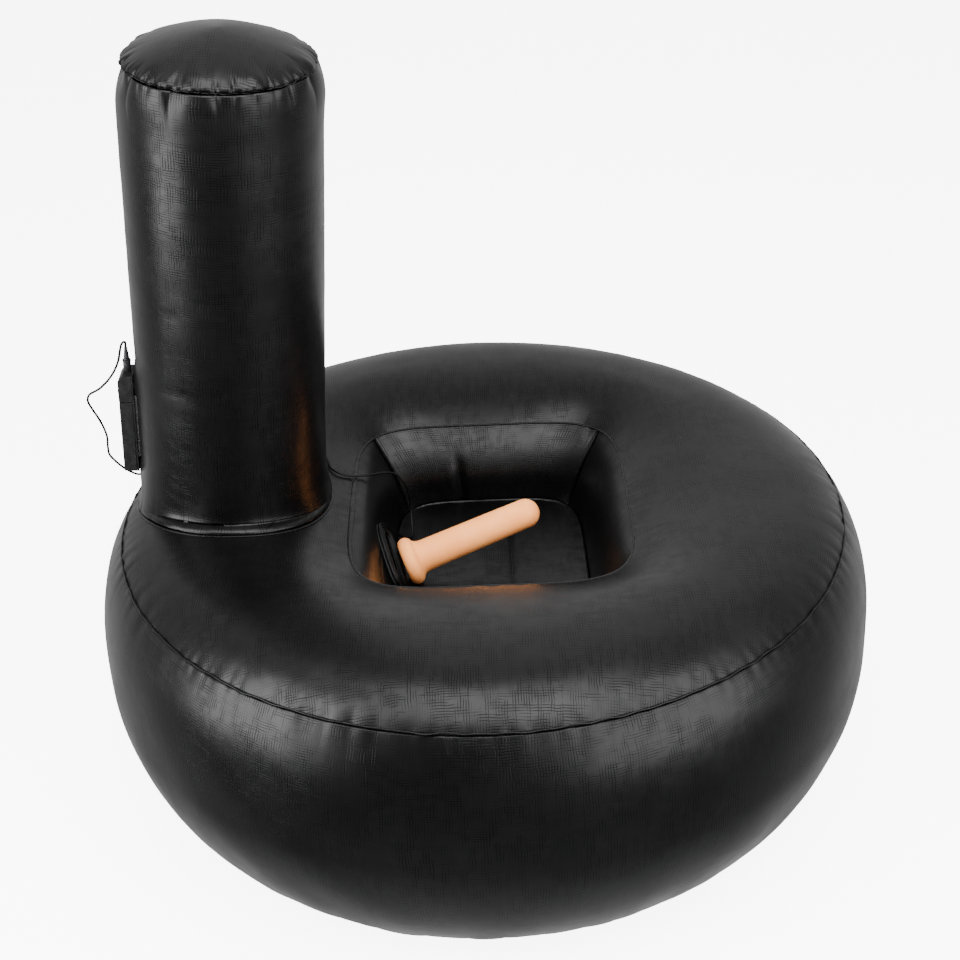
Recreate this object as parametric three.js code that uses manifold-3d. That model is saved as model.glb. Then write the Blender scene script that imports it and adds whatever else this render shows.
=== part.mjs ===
// Round inflatable seat with a sunken well, a leaning column, a battery box and a plain massager on its lead.
// Millimetres, +Z up. The origin is on the floor under the ring's centre. The column stands towards +Y,
// and the front of the seat is towards -Y.
import * as THREE from 'three';
import { mergeVertices } from 'three/addons/utils/BufferGeometryUtils.js';
import Module from 'manifold-3d';

const wasm = await Module();
wasm.setup();

// Ring: overall sizes
const ringRadius = 450;
const ringHeight = 353;
const bulgeHeight = 173;
const baseRadius = 346;
const crestRadius = 324;
const seamInset = 35;
const seamRadius = ringRadius - seamInset;
const upperFullness = 2.788;
const lowerFullness = 1.782;

// Well: rim, floor and the place of its centre
const rimHeight = 319;
const wellX = 19;
const wellY = -9;
const wellHalfX = 182;
const wellHalfY = 164;
const wellSquareness = 4.8;
const wellFloorHeight = 225;
const wellFloorHalfX = 150;
const wellFloorHalfY = 117;
const wellWallBulge = 10;

// Film and its welds
const film = 0.6;
const gap = 0.3;
const vertexTolerance = 0.00001;
const poleTolerance = 0.001;
const rimHem = 5;
const seamHem = 3;
const floorHem = 4;
const webLift = 0.3;
const webY = -34;
const webHoleRadius = 25;

// Column
const columnX = 24;
const columnInset = 161;
const columnY = ringRadius - columnInset;
const columnFootHeight = 339;
const columnLength = 522;
const columnLeanX = -24;
const columnLeanY = -43;
const columnRadius = 104.5;
const columnFlare = 9;
const columnFlareLength = 26;
const columnTopRadius = 98;
const columnShoulder = 35;
const columnBaseHem = 5;
const columnBaseLift = 2.1;
const capHeight = 33;
const capFullness = 1.7;

// Valves
const valveFlangeRadius = 18;
const valveFlangeThickness = 1.2;
const valveBore = 7.1;
const valveHole = 7.5;
const neckRadius = 6.6;
const neckBore = 4.4;
const neckLength = 20;
const neckRimRadius = 11;
const neckRimThickness = 1.4;
const stopperHeadRadius = 8.5;
const stopperHeadThickness = 1.8;
const stopperShankRadius = 3.8;
const stopperShankLength = 3.5;
const strapWidth = 6;
const strapThickness = 0.9;
const strapReach = 11.7;
const columnValveAlong = 182;

// Control box: x across, y away from the column, z along the column
const boxAlong = 33.5;
const boxWidth = 28;
const boxDepth = 17;
const boxHeight = 118;
const boxShoulderHeight = 8;
const boxShoulderDepth = 5.5;
const boxWall = 1.6;
const coverHeight = 92.2;
const patchWidth = 22;
const patchHeight = 80;
const patchThickness = 0.8;
const cellRadius = 5.25;
const cellLength = 43.5;
const cellNubRadius = 1.9;
const cellNubLength = 1;
const cellPitch = 11.2;
const stripThickness = 0.4;
const stripWidth = 7;
const springHeight = 2.6;
const springRadius = 2.6;
const springTopRadius = 1.2;
const ledgeThickness = 1.4;
const ledgeDepth = 12.4;
const boardThickness = 1.6;
const boardWidth = 22;
const boardHeight = 9.6;
const bossRadius = 1.8;
const bossHeight = 1.8;
const buttonRadius = 3.6;
const buttonClearance = 0.4;
const buttonFlange = 0.9;
const buttonFlangeThickness = 1.2;
const buttonProud = 1.2;
const buttonTravel = 1;
const buttonSpacing = 15;
const buttonHeight = 103.6;
const buttonStemRadius = 1.6;
const switchSide = 4.5;
const switchHeight = 1.6;
const lightRadius = 1.2;
const lightProud = 0.3;
const socketRadius = 3.9;
const socketBore = 2.05;
const socketLength = 17.3;
const screwHeadRadius = 2.2;
const screwHeadThickness = 0.9;
const screwShankRadius = 0.9;
const screwShankLength = 8;
const screwBossRadius = 2.6;
const screwSpread = 10.5;
const screwHeight = 116;

// Jack plug
const pinRadius = 1.75;
const pinDepth = 14;
const pinInBody = 5;
const plugRadius = 4.4;
const plugCollarRadius = 4.8;
const plugCollarLength = 2.5;
const plugLength = 13.5;
const reliefRadius = 3.6;
const reliefTipRadius = 2;
const reliefLength = 15;

// Lead
const cordRadius = 1.2;
const cordSides = 8;

// Hank: a long flat spiral in two layers
const hankLength = 88;
const hankWidth = 44;
const hankTurns = 4;
const hankPitch = 3.3;
const hankLayer = 3.4;
const hankLoopSteps = 24;
const hankSides = 6;
const hankTailShare = 0.625;
const hankOffset = 29;
const hankRise = 37.9;
const hankSquareness = 3;
const hankWallClearance = 5;

// Massager
const footRadius = 29;
const footEdge = 9;
const shaftRadius = 19;
const shaftTipRadius = 17.5;
const massagerLength = 173;
const massagerTilt = 16.08;
const massagerTurn = 12.97;
const massagerX = -7.8;
const heelClearance = 27.4;
const sleeveBore = 12.3;
const sleeveBoreDepth = 71;
const footCapThickness = 5;
const capsuleClearance = 0.3;
const capsuleWall = 1.6;
const capsuleRearLength = 32;
const capsuleFrontLength = 33;
const motorRadius = 8;
const motorLength = 26;
const motorShaftRadius = 1;
const motorShaftLength = 26;
const shaftClearance = 0.3;
const weightRadius = 7.6;
const weightLength = 14;
const glandRadius = 3;
const glandInside = 6;
const glandLength = 15;

// Counts
const ringSegments = 36;
const columnSegments = 28;
const wallSpans = 6;
const boxLoopSteps = 44;
const runSteps = 48;
const tailSteps = 14;
const cellColumns = 2;
const cellsInLine = 2;

// Shares of the span that they follow
const rimToCrestShares = [0.15, 0.4, 0.7, 1];
const crestToSeamShares = [0.35, 0.65, 0.85];
const outerWallUpperShares = [0.8, 0.55, 0.27];
const outerWallLowerShares = [0.18, 0.36, 0.54, 0.72, 0.88, 1];
const wellWallShares = [0.2, 0.4, 0.6, 0.8, 1];
const columnShares = [0.02, 0.06, 0.13, 0.3, 0.55, 0.8];
const basePanelShares = [0.4, 0.66, 0.85, 1];
const capShares = [0.93, 0.78, 0.55, 0.28];

const up = new THREE.Vector3(0, 0, 1);
const quarter = Math.PI / 2;
const root = new THREE.Group();

// Adds a named sub-part with its own material to a group.
function add(name, geometry, color, roughness, metalness = 0, group = root) {
  const material = new THREE.MeshStandardMaterial({ color, roughness, metalness });
  const mesh = new THREE.Mesh(geometry, material);
  mesh.name = name;
  group.add(mesh);
  return mesh;
}

// Keeps only positions and joins vertices that lie together.
function welded(geometry) {
  const bare = geometry.clone();
  bare.deleteAttribute('normal');
  bare.deleteAttribute('uv');
  return mergeVertices(bare, vertexTolerance);
}

// Turns a closed geometry into a solid that can be joined or cut.
function toSolid(geometry) {
  const closed = welded(geometry);
  const vertProperties = new Float32Array(closed.attributes.position.array);
  const triVerts = new Uint32Array(closed.index.array);
  return new wasm.Manifold(new wasm.Mesh({ numProp: 3, vertProperties, triVerts }));
}

// Turns a solid back into a geometry.
function fromSolid(solid) {
  const mesh = solid.getMesh();
  const geometry = new THREE.BufferGeometry();
  geometry.setAttribute('position', new THREE.BufferAttribute(new Float32Array(mesh.vertProperties), 3));
  geometry.setIndex(new THREE.BufferAttribute(new Uint32Array(mesh.triVerts), 1));
  return geometry;
}

function joined(...geometries) {
  return fromSolid(geometries.map(toSolid).reduce((whole, piece) => whole.add(piece)));
}

function cut(geometry, ...cutters) {
  return fromSolid(cutters.map(toSolid).reduce((whole, piece) => whole.subtract(piece), toSolid(geometry)));
}

// A box given by its lowest and highest corners.
function block(low, high) {
  const size = high.map((value, axis) => value - low[axis]);
  const middle = high.map((value, axis) => (value + low[axis]) / 2);
  return new THREE.BoxGeometry(...size).translate(...middle);
}

// A solid of revolution about +Z from points [radius, height], running upwards on the outside.
function turned(points, segments = 20) {
  const profile = points.map(([radius, height]) => new THREE.Vector2(radius, height));
  return new THREE.LatheGeometry(profile, segments).rotateX(quarter);
}

// A closed ring of revolution: the profile comes back to its first point.
function turnedRing(points, segments = 20) {
  return turned([...points, points[0]], segments);
}

// A rod along +Z between two heights.
function rod(radius, low, high, segments = 16) {
  return turned([[0, low], [radius, low], [radius, high], [0, high]], segments);
}

// A film of even thickness on a grid of middle points, grid[row][column]. Columns may close on themselves,
// and a first or last row whose points all coincide is a pole.
function filmSheet(grid, thickness, closedColumns) {
  const rows = grid.length;
  const columns = grid[0].length;
  const wrap = (j) => (closedColumns ? (j + columns) % columns : Math.min(Math.max(j, 0), columns - 1));
  const isPole = (i) => grid[i][0].distanceTo(grid[i][Math.floor(columns / 2)]) < poleTolerance;
  const normals = grid.map((row, i) => row.map((point, j) => {
    const down = grid[Math.min(i + 1, rows - 1)][j].clone().sub(grid[Math.max(i - 1, 0)][j]);
    const along = grid[i][wrap(j + 1)].clone().sub(grid[i][wrap(j - 1)]);
    return down.cross(along).normalize();
  }));
  [0, rows - 1].filter(isPole).forEach((i) => {
    const near = normals[i === 0 ? 1 : rows - 2];
    const mean = near.reduce((sum, normal) => sum.add(normal), new THREE.Vector3()).normalize();
    normals[i] = normals[i].map(() => mean);
  });
  const positions = [];
  [thickness / 2, -thickness / 2].forEach((offset) => grid.forEach((row, i) => row.forEach((point, j) => {
    positions.push(...point.clone().addScaledVector(normals[i][j], offset).toArray());
  })));
  const index = (side, i, j) => side * rows * columns + i * columns + wrap(j);
  const triangles = [];
  const quad = (a, b, c, d) => triangles.push([a, b, c], [a, c, d]);
  const spans = closedColumns ? columns : columns - 1;
  for (let i = 0; i < rows - 1; i += 1) {
    for (let j = 0; j < spans; j += 1) {
      quad(index(0, i, j), index(0, i + 1, j), index(0, i + 1, j + 1), index(0, i, j + 1));
      quad(index(1, i, j), index(1, i, j + 1), index(1, i + 1, j + 1), index(1, i + 1, j));
    }
  }
  for (let j = 0; j < spans; j += 1) {
    quad(index(0, 0, j), index(0, 0, j + 1), index(1, 0, j + 1), index(1, 0, j));
    quad(index(0, rows - 1, j), index(1, rows - 1, j), index(1, rows - 1, j + 1), index(0, rows - 1, j + 1));
  }
  if (!closedColumns) {
    for (let i = 0; i < rows - 1; i += 1) {
      quad(index(0, i, 0), index(1, i, 0), index(1, i + 1, 0), index(0, i + 1, 0));
      quad(index(0, i, spans), index(0, i + 1, spans), index(1, i + 1, spans), index(1, i, spans));
    }
  }
  const geometry = new THREE.BufferGeometry();
  geometry.setAttribute('position', new THREE.Float32BufferAttribute(positions, 3));
  geometry.setIndex(triangles.flat());
  const closed = mergeVertices(geometry, poleTolerance);
  const kept = [];
  for (let t = 0; t < closed.index.count; t += 3) {
    const [a, b, c] = [closed.index.getX(t), closed.index.getX(t + 1), closed.index.getX(t + 2)];
    if (a !== b && b !== c && c !== a) kept.push(a, b, c);
  }
  closed.setIndex(kept);
  return closed;
}

// A closed grid turned about +Z from middle points [radius, height].
function turnedGrid(points, segments) {
  return points.map(([radius, height]) => Array.from({ length: segments }, (unused, j) => {
    const angle = (j / segments) * 2 * Math.PI;
    return new THREE.Vector3(radius * Math.cos(angle), radius * Math.sin(angle), height);
  }));
}

// Distance from the origin to the well's outline in one direction.
function outlineRadius(angle, halfX, halfY) {
  let low = 0;
  let high = 2 * Math.max(halfX, halfY);
  for (let step = 0; step < 48; step += 1) {
    const middle = (low + high) / 2;
    const x = Math.abs((middle * Math.cos(angle) - wellX) / halfX) ** wellSquareness;
    const y = Math.abs((middle * Math.sin(angle) - wellY) / halfY) ** wellSquareness;
    if (x + y < 1) low = middle;
    else high = middle;
  }
  return low;
}

// A point on a rounded square about the well's centre.
function wellPoint(angle, halfX, halfY, height) {
  const spread = Math.abs(Math.cos(angle)) ** wellSquareness + Math.abs(Math.sin(angle)) ** wellSquareness;
  const reach = spread ** (-1 / wellSquareness);
  const x = wellX + halfX * reach * Math.cos(angle);
  const y = wellY + halfY * reach * Math.sin(angle);
  return new THREE.Vector3(x, y, height);
}

// Height of the ring outside its crest.
function outerHeight(radius) {
  const share = Math.min(1, Math.max(0, (radius - crestRadius) / (ringRadius - crestRadius)));
  return bulgeHeight + (ringHeight - bulgeHeight) * (1 - share ** upperFullness) ** (1 / upperFullness);
}

// Height of the ring's top panel anywhere.
function topHeight(x, y) {
  const radius = Math.hypot(x, y);
  if (radius >= crestRadius) return outerHeight(radius);
  const rim = outlineRadius(Math.atan2(y, x), wellHalfX, wellHalfY);
  const share = Math.min(1, Math.max(0, (radius - rim) / (crestRadius - rim)));
  return ringHeight - (ringHeight - rimHeight) * (1 - share) ** 2;
}

// Ring: seam where the top panel and the outer wall are welded, with both hems standing out side by side
const weldSpacing = film + gap;
const seamStep = seamHem / 2;
const seamSlope = (outerHeight(seamRadius + seamStep) - outerHeight(seamRadius - seamStep)) / (2 * seamStep);
const seamTangent = new THREE.Vector2(1, seamSlope).normalize();
const seamNormal = new THREE.Vector2(-seamTangent.y, seamTangent.x);

// A point near the outer seam, moved along the film and out of it.
function seamPoint(along, out) {
  const radius = seamRadius + seamTangent.x * along + seamNormal.x * out;
  return [radius, outerHeight(seamRadius) + seamTangent.y * along + seamNormal.y * out];
}

function topPanel() {
  const columns = Array.from({ length: ringSegments }, (unused, j) => (j / ringSegments) * 2 * Math.PI);
  const rimLevel = rimHeight + weldSpacing / 2;
  const ring = (angle, radius, height) => new THREE.Vector3(
    radius * Math.cos(angle), radius * Math.sin(angle), height);
  const rims = columns.map((angle) => outlineRadius(angle, wellHalfX, wellHalfY));
  const grid = [];
  grid.push(columns.map((angle, j) => ring(angle, rims[j] - rimHem, rimLevel)));
  grid.push(columns.map((angle, j) => ring(angle, rims[j], rimLevel)));
  rimToCrestShares.forEach((share) => grid.push(columns.map((angle, j) => {
    const height = ringHeight - (ringHeight - rimLevel) * (1 - share) ** 2;
    return ring(angle, rims[j] + share * (crestRadius - rims[j]), height);
  })));
  crestToSeamShares.forEach((share) => grid.push(columns.map((angle) => {
    const radius = crestRadius + share * (seamRadius - crestRadius);
    return ring(angle, radius, outerHeight(radius));
  })));
  [[-weldSpacing / 2, 0], [-weldSpacing / 2, seamHem]].forEach(([along, out]) => {
    const [radius, height] = seamPoint(along, out);
    grid.push(columns.map((angle) => ring(angle, radius, height)));
  });
  return filmSheet(grid, film, true);
}

// The outer wall's middle line from the outer seam over the bulge to the weld on the bottom panel.
const wallFoot = film + gap + film / 2;
function outerWallPoints() {
  const points = [seamPoint(weldSpacing / 2, seamHem), seamPoint(weldSpacing / 2, 0)];
  outerWallUpperShares.forEach((share) => {
    const height = bulgeHeight + share * (outerHeight(seamRadius) - bulgeHeight);
    const rise = (height - bulgeHeight) / (ringHeight - bulgeHeight);
    const reach = (1 - rise ** upperFullness) ** (1 / upperFullness);
    points.push([crestRadius + (ringRadius - crestRadius) * reach - film / 2, height]);
  });
  points.push([ringRadius - film / 2, bulgeHeight]);
  outerWallLowerShares.forEach((share) => {
    const turn = share * quarter;
    const reach = Math.cos(turn) ** (2 / lowerFullness);
    const drop = Math.sin(turn) ** (2 / lowerFullness);
    const radius = baseRadius + (ringRadius - film / 2 - baseRadius) * reach;
    points.push([radius, bulgeHeight - (bulgeHeight - wallFoot) * drop]);
  });
  points.push([baseRadius - rimHem, wallFoot]);
  return points;
}
const wallPoints = outerWallPoints();

// Valve places: on the middle of a facet, facing straight out of the film.
const seatValveRow = 2 + outerWallUpperShares.length + 1;
function seatValvePlace() {
  const [upperRadius, upperHeight] = wallPoints[seatValveRow];
  const [lowerRadius, lowerHeight] = wallPoints[seatValveRow + 1];
  const flat = Math.cos(Math.PI / ringSegments);
  const radius = (flat * (upperRadius + lowerRadius)) / 2;
  const angle = Math.PI / ringSegments;
  const out = new THREE.Vector3(upperHeight - lowerHeight, 0, (lowerRadius - upperRadius) * flat).normalize();
  out.applyAxisAngle(up, angle);
  const point = new THREE.Vector3(radius, 0, (upperHeight + lowerHeight) / 2).applyAxisAngle(up, angle);
  return { point, out };
}

// Column: its axis, and its radius along that axis
const columnFoot = new THREE.Vector3(columnX, columnY, columnFootHeight);
const columnAxis = new THREE.Vector3(columnLeanX, columnLeanY, columnLength).normalize();
const columnTurn = new THREE.Quaternion().setFromUnitVectors(up, columnAxis);

function columnRadiusAt(along) {
  const flare = columnFlare * Math.exp(-Math.max(along, 0) / columnFlareLength);
  const shoulder = Math.max(0, (along - (columnLength - columnShoulder)) / columnShoulder);
  return columnRadius + flare - (columnRadius - columnTopRadius) * shoulder ** 2;
}

function columnPoint(angle, along, radius) {
  const point = new THREE.Vector3(radius * Math.cos(angle), radius * Math.sin(angle), along);
  return point.applyQuaternion(columnTurn).add(columnFoot);
}

// Distance along the axis where the column's side meets the ring's top panel.
function columnFootAlong(angle) {
  let along = 0;
  for (let step = 0; step < 12; step += 1) {
    const point = columnPoint(angle, along, columnRadiusAt(along));
    along += topHeight(point.x, point.y) - point.z;
  }
  return along;
}

const columnStep = (2 * Math.PI) / columnSegments;
const columnAngles = Array.from({ length: columnSegments }, (unused, j) => j * columnStep);
const footAlongs = columnAngles.map(columnFootAlong);
const footPoints = columnAngles.map((angle, j) => {
  const along = footAlongs[j];
  return columnPoint(angle, along, columnRadiusAt(along));
});

// A point over the top panel on the line from the column's middle through one foot point.
function overPanel(j, share, extra, lift) {
  const away = new THREE.Vector2(footPoints[j].x - columnX, footPoints[j].y - columnY);
  const reach = away.length() * share + extra;
  away.normalize().multiplyScalar(reach);
  const x = columnX + away.x;
  const y = columnY + away.y;
  return new THREE.Vector3(x, y, topHeight(x, y) + lift);
}

function columnBasePanel() {
  const grid = [columnAngles.map((angle, j) => overPanel(j, 1, columnBaseHem, columnBaseLift))];
  basePanelShares.toReversed().forEach((share) => {
    grid.push(columnAngles.map((angle, j) => overPanel(j, share, 0, columnBaseLift)));
  });
  grid.push(columnAngles.map((angle, j) => overPanel(j, 0, 0, columnBaseLift)));
  return filmSheet(grid.toReversed(), film, true);
}

function columnTube() {
  const lift = columnBaseLift + weldSpacing;
  const grid = [];
  [columnTopRadius + seamHem, columnTopRadius].forEach((radius) => {
    grid.push(columnAngles.map((angle) => columnPoint(angle, columnLength - weldSpacing / 2, radius)));
  });
  const shoulderAlong = columnLength - columnShoulder / 2;
  grid.push(columnAngles.map((angle) => columnPoint(angle, shoulderAlong, columnRadiusAt(shoulderAlong))));
  columnShares.toReversed().forEach((share) => grid.push(columnAngles.map((angle, j) => {
    const low = footAlongs[j] + lift;
    const along = low + share * (columnLength - columnShoulder - low);
    return columnPoint(angle, along, columnRadiusAt(along - footAlongs[j]));
  })));
  grid.push(columnAngles.map((angle, j) => overPanel(j, 1, 0, lift)));
  grid.push(columnAngles.map((angle, j) => overPanel(j, 1, columnBaseHem, lift)));
  return filmSheet(grid, film, true);
}

function columnCap() {
  const lift = weldSpacing / 2;
  const level = (share) => columnLength + lift + capHeight * (1 - share ** capFullness) ** (1 / capFullness);
  const grid = [columnTopRadius + seamHem, columnTopRadius].map((radius) => columnAngles.map(
    (angle) => columnPoint(angle, columnLength + lift, radius)));
  capShares.forEach((share) => {
    grid.push(columnAngles.map((angle) => columnPoint(angle, level(share), share * columnTopRadius)));
  });
  grid.push(columnAngles.map((angle) => columnPoint(angle, level(0), 0)));
  return filmSheet(grid.toReversed(), film, true);
}

// The column's valve sits on a facet that faces the far side.
function columnValvePlace() {
  const angle = Math.PI / columnSegments;
  const radius = columnRadiusAt(columnValveAlong) * Math.cos(angle);
  const point = columnPoint(angle, columnValveAlong, radius);
  const out = new THREE.Vector3(Math.cos(angle), Math.sin(angle), 0).applyQuaternion(columnTurn);
  return { point, out };
}

// A group whose +Z points along a direction and whose +X is as level as it can be.
function placed(point, out) {
  const side = new THREE.Vector3().crossVectors(up, out).normalize();
  const over = new THREE.Vector3().crossVectors(out, side);
  const turn = new THREE.Matrix4().makeBasis(side, over, out);
  const group = new THREE.Group();
  group.position.copy(point);
  group.quaternion.setFromRotationMatrix(turn);
  root.add(group);
  group.updateMatrixWorld(true);
  return group;
}

const filmColor = 0x151517;
const filmRoughness = 0.42;
const plasticColor = 0x111113;
const plasticRoughness = 0.5;

// One valve: a flange welded on the film, a neck that pops out of it, and a stopper on its strap
const rimUnder = film / 2 + gap + valveFlangeThickness + gap;
const rimTop = rimUnder + neckRimThickness;

function addValve(prefix, place) {
  const group = placed(place.point, place.out);
  const low = film / 2 + gap;
  const flangeTop = low + valveFlangeThickness;
  const flange = [[valveBore, low], [valveFlangeRadius, low], [valveFlangeRadius, (low + flangeTop) / 2],
    [valveFlangeRadius - valveFlangeThickness, flangeTop], [valveBore, flangeTop]];
  add(`${prefix}_valve_flange`, turnedRing(flange, 18), filmColor, filmRoughness, 0, group);
  const neck = [[neckBore, rimTop - neckLength], [neckRadius, rimTop - neckLength], [neckRadius, rimUnder],
    [neckRimRadius, rimUnder], [neckRimRadius, rimTop], [neckBore, rimTop]];
  add(`${prefix}_valve_neck`, turnedRing(neck, 16), filmColor, filmRoughness, 0, group);
  const headLow = rimTop + gap;
  const shankLow = headLow - stopperShankLength;
  const head = turned([[0, shankLow], [stopperShankRadius, shankLow], [stopperShankRadius, headLow],
    [stopperHeadRadius, headLow], [stopperHeadRadius, headLow + stopperHeadThickness / 2],
    [stopperHeadRadius - stopperHeadThickness / 2, headLow + stopperHeadThickness],
    [0, headLow + stopperHeadThickness]], 16);
  const strap = block([-strapReach, -strapWidth / 2, headLow], [0, strapWidth / 2, headLow + strapThickness]);
  add(`${prefix}_valve_stopper`, joined(head, strap), filmColor, filmRoughness, 0, group);
}

// A round cutter through the film at a valve.
function valveCutter(place) {
  const cutter = rod(valveHole, -valveFlangeRadius, valveFlangeRadius);
  cutter.applyQuaternion(new THREE.Quaternion().setFromUnitVectors(up, place.out));
  return cutter.translate(...place.point.toArray());
}

const seatValve = seatValvePlace();
const columnValve = columnValvePlace();

// Ring panels
add('outer_wall', cut(filmSheet(turnedGrid(wallPoints, ringSegments), film, true), valveCutter(seatValve)),
  filmColor, filmRoughness);
add('top_panel', topPanel(), filmColor, filmRoughness);
add('bottom_panel', rod(baseRadius + seamHem, 0, film, ringSegments), filmColor, filmRoughness);

// Well walls: one panel to each side, hemmed at the rim, drawn in by the air behind them
function wellWall(middleAngle) {
  const half = Math.PI / 4 - gap / wellHalfX;
  const step = (2 * half) / wallSpans;
  const angles = Array.from({ length: wallSpans + 1 }, (unused, j) => middleAngle - half + j * step);
  const top = rimHeight - weldSpacing / 2;
  const bottom = wellFloorHeight - film;
  const grid = [angles.map((angle) => wellPoint(angle, wellHalfX - rimHem, wellHalfY - rimHem, top))];
  [0, ...wellWallShares].forEach((share) => {
    const inset = wellWallBulge * Math.sin(Math.PI * share);
    const halfX = wellHalfX + share * (wellFloorHalfX - wellHalfX) - inset;
    const halfY = wellHalfY + share * (wellFloorHalfY - wellHalfY) - inset;
    grid.push(angles.map((angle) => wellPoint(angle, halfX, halfY, top + share * (bottom - top))));
  });
  return filmSheet(grid.toReversed(), film, false);
}
['left', 'rear', 'right', 'front'].forEach((side, k) => {
  add(`well_wall_${side}`, wellWall(k * quarter), filmColor, filmRoughness);
});

// Well floor: a flat panel whose hem turns up against the walls
function wellFloor() {
  const angles = Array.from({ length: 4 * wallSpans }, (unused, j) => ((j / wallSpans - 1 / 2) * quarter));
  const halfX = wellFloorHalfX - 2 * weldSpacing;
  const halfY = wellFloorHalfY - 2 * weldSpacing;
  const level = wellFloorHeight - film / 2;
  const grid = [angles.map((angle) => wellPoint(angle, halfX, halfY, level + floorHem))];
  grid.push(angles.map((angle) => wellPoint(angle, halfX, halfY, level)));
  grid.push(angles.map((angle) => wellPoint(angle, halfX / 2, halfY / 2, level)));
  grid.push(angles.map(() => new THREE.Vector3(wellX, wellY, level)));
  return filmSheet(grid.toReversed(), film, true);
}
add('well_floor', wellFloor(), filmColor, filmRoughness);

// Tie web: a pierced film that holds the well floor down to the bottom panel
function tieWeb() {
  const low = film + webLift;
  const high = wellFloorHeight - film - webLift;
  const halfLength = wellFloorHalfX - webHoleRadius;
  const outline = new THREE.Shape();
  outline.moveTo(-halfLength, low);
  outline.lineTo(halfLength, low);
  outline.lineTo(halfLength, high);
  outline.lineTo(-halfLength, high);
  outline.closePath();
  [-halfLength / 2, halfLength / 2].forEach((x) => {
    const hole = new THREE.Path();
    hole.absarc(x, (low + high) / 2, webHoleRadius, 0, 2 * Math.PI, true);
    outline.holes.push(hole);
  });
  const web = new THREE.ExtrudeGeometry(outline, { depth: film, bevelEnabled: false, curveSegments: 10 });
  return web.rotateX(quarter).translate(wellX, webY + film / 2, 0);
}
add('floor_tie_web', tieWeb(), filmColor, filmRoughness);

// Column
add('column_base_panel', columnBasePanel(), filmColor, filmRoughness);
add('column_tube', cut(columnTube(), valveCutter(columnValve)), filmColor, filmRoughness);
add('column_cap', columnCap(), filmColor, filmRoughness);

addValve('seat', seatValve);
addValve('column', columnValve);

// Control box: local x runs across, y away from the column, z along it
const patchLow = (boxHeight - patchHeight) / 2;
const boxGroup = new THREE.Group();
boxGroup.quaternion.copy(columnTurn);
boxGroup.position.copy(columnPoint(quarter, boxAlong, columnRadiusAt(boxAlong + patchLow) + film / 2));
root.add(boxGroup);
boxGroup.updateMatrixWorld(true);

const halfWidth = boxWidth / 2;
const loopLow = gap;
const hookLow = loopLow + patchThickness + gap;
const backLow = hookLow + patchThickness + gap;
const plateTop = backLow + boxWall;
const caseLow = plateTop + gap;
const faceOut = backLow + boxDepth;
const faceIn = faceOut - boxWall;
const boxTop = boxHeight + boxShoulderHeight;
const cellY = caseLow + cellRadius;
const ledgeLow = boxWall + gap;
const stripLow = ledgeLow + ledgeThickness + gap;
const cellLow = stripLow + stripThickness + springHeight + gap;
const upperStripLow = cellLow + cellsInLine * (cellLength + cellNubLength + gap);
const upperLedgeLow = upperStripLow + stripThickness + gap;
const boardLow = upperLedgeLow + ledgeThickness + gap;
const boardIn = plateTop + bossHeight + gap;
const boardOut = boardIn + boardThickness;
const shoulderOut = faceOut - boxShoulderDepth;
const socketY = (caseLow + shoulderOut) / 2;

add('loop_patch', block([-patchWidth / 2, loopLow, patchLow],
  [patchWidth / 2, loopLow + patchThickness, patchLow + patchHeight]), 0x1b1b1d, 0.95, 0, boxGroup);
add('hook_patch', block([-patchWidth / 2, hookLow, patchLow],
  [patchWidth / 2, hookLow + patchThickness, patchLow + patchHeight]), 0x17171a, 0.9, 0, boxGroup);

// A rod along the box's y axis.
function rodOut(radius, low, high, x, z, segments = 16) {
  return rod(radius, low, high, segments).rotateX(-quarter).translate(x, 0, z);
}

function boxBack() {
  const plate = block([-halfWidth, backLow, 0], [halfWidth, plateTop, boxTop]);
  const ledgeOut = backLow + ledgeDepth;
  const ledgeHalf = halfWidth - 2 * boxWall;
  const lowLedge = block([-ledgeHalf, backLow, ledgeLow], [ledgeHalf, ledgeOut, ledgeLow + ledgeThickness]);
  const highLedge = block([-ledgeHalf, backLow, upperLedgeLow],
    [ledgeHalf, ledgeOut, upperLedgeLow + ledgeThickness]);
  const bosses = [-1, 1].flatMap((side) => [boardLow + bossRadius, boardLow + boardHeight - bossRadius].map(
    (z) => rodOut(bossRadius, backLow, plateTop + bossHeight, side * (boardWidth / 2 - bossRadius), z)));
  const heads = [-1, 1].flatMap((side) => [
    rodOut(screwHeadRadius + gap, 0, backLow + screwHeadThickness + gap, side * screwSpread, screwHeight),
    rodOut(screwShankRadius + gap, 0, plateTop + gap, side * screwSpread, screwHeight)]);
  return cut(joined(plate, lowLedge, highLedge, ...bosses), ...heads);
}
add('box_back', boxBack(), plasticColor, plasticRoughness, 0, boxGroup);

// Section of the box's front case in y and z, run across x.
function acrossBox(points, halfSpan) {
  const section = new THREE.Shape(points.map(([y, z]) => new THREE.Vector2(y, z)));
  const run = new THREE.ExtrudeGeometry(section, { depth: 2 * halfSpan, bevelEnabled: false });
  return run.rotateY(quarter).rotateX(quarter).translate(-halfSpan, 0, 0);
}

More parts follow.
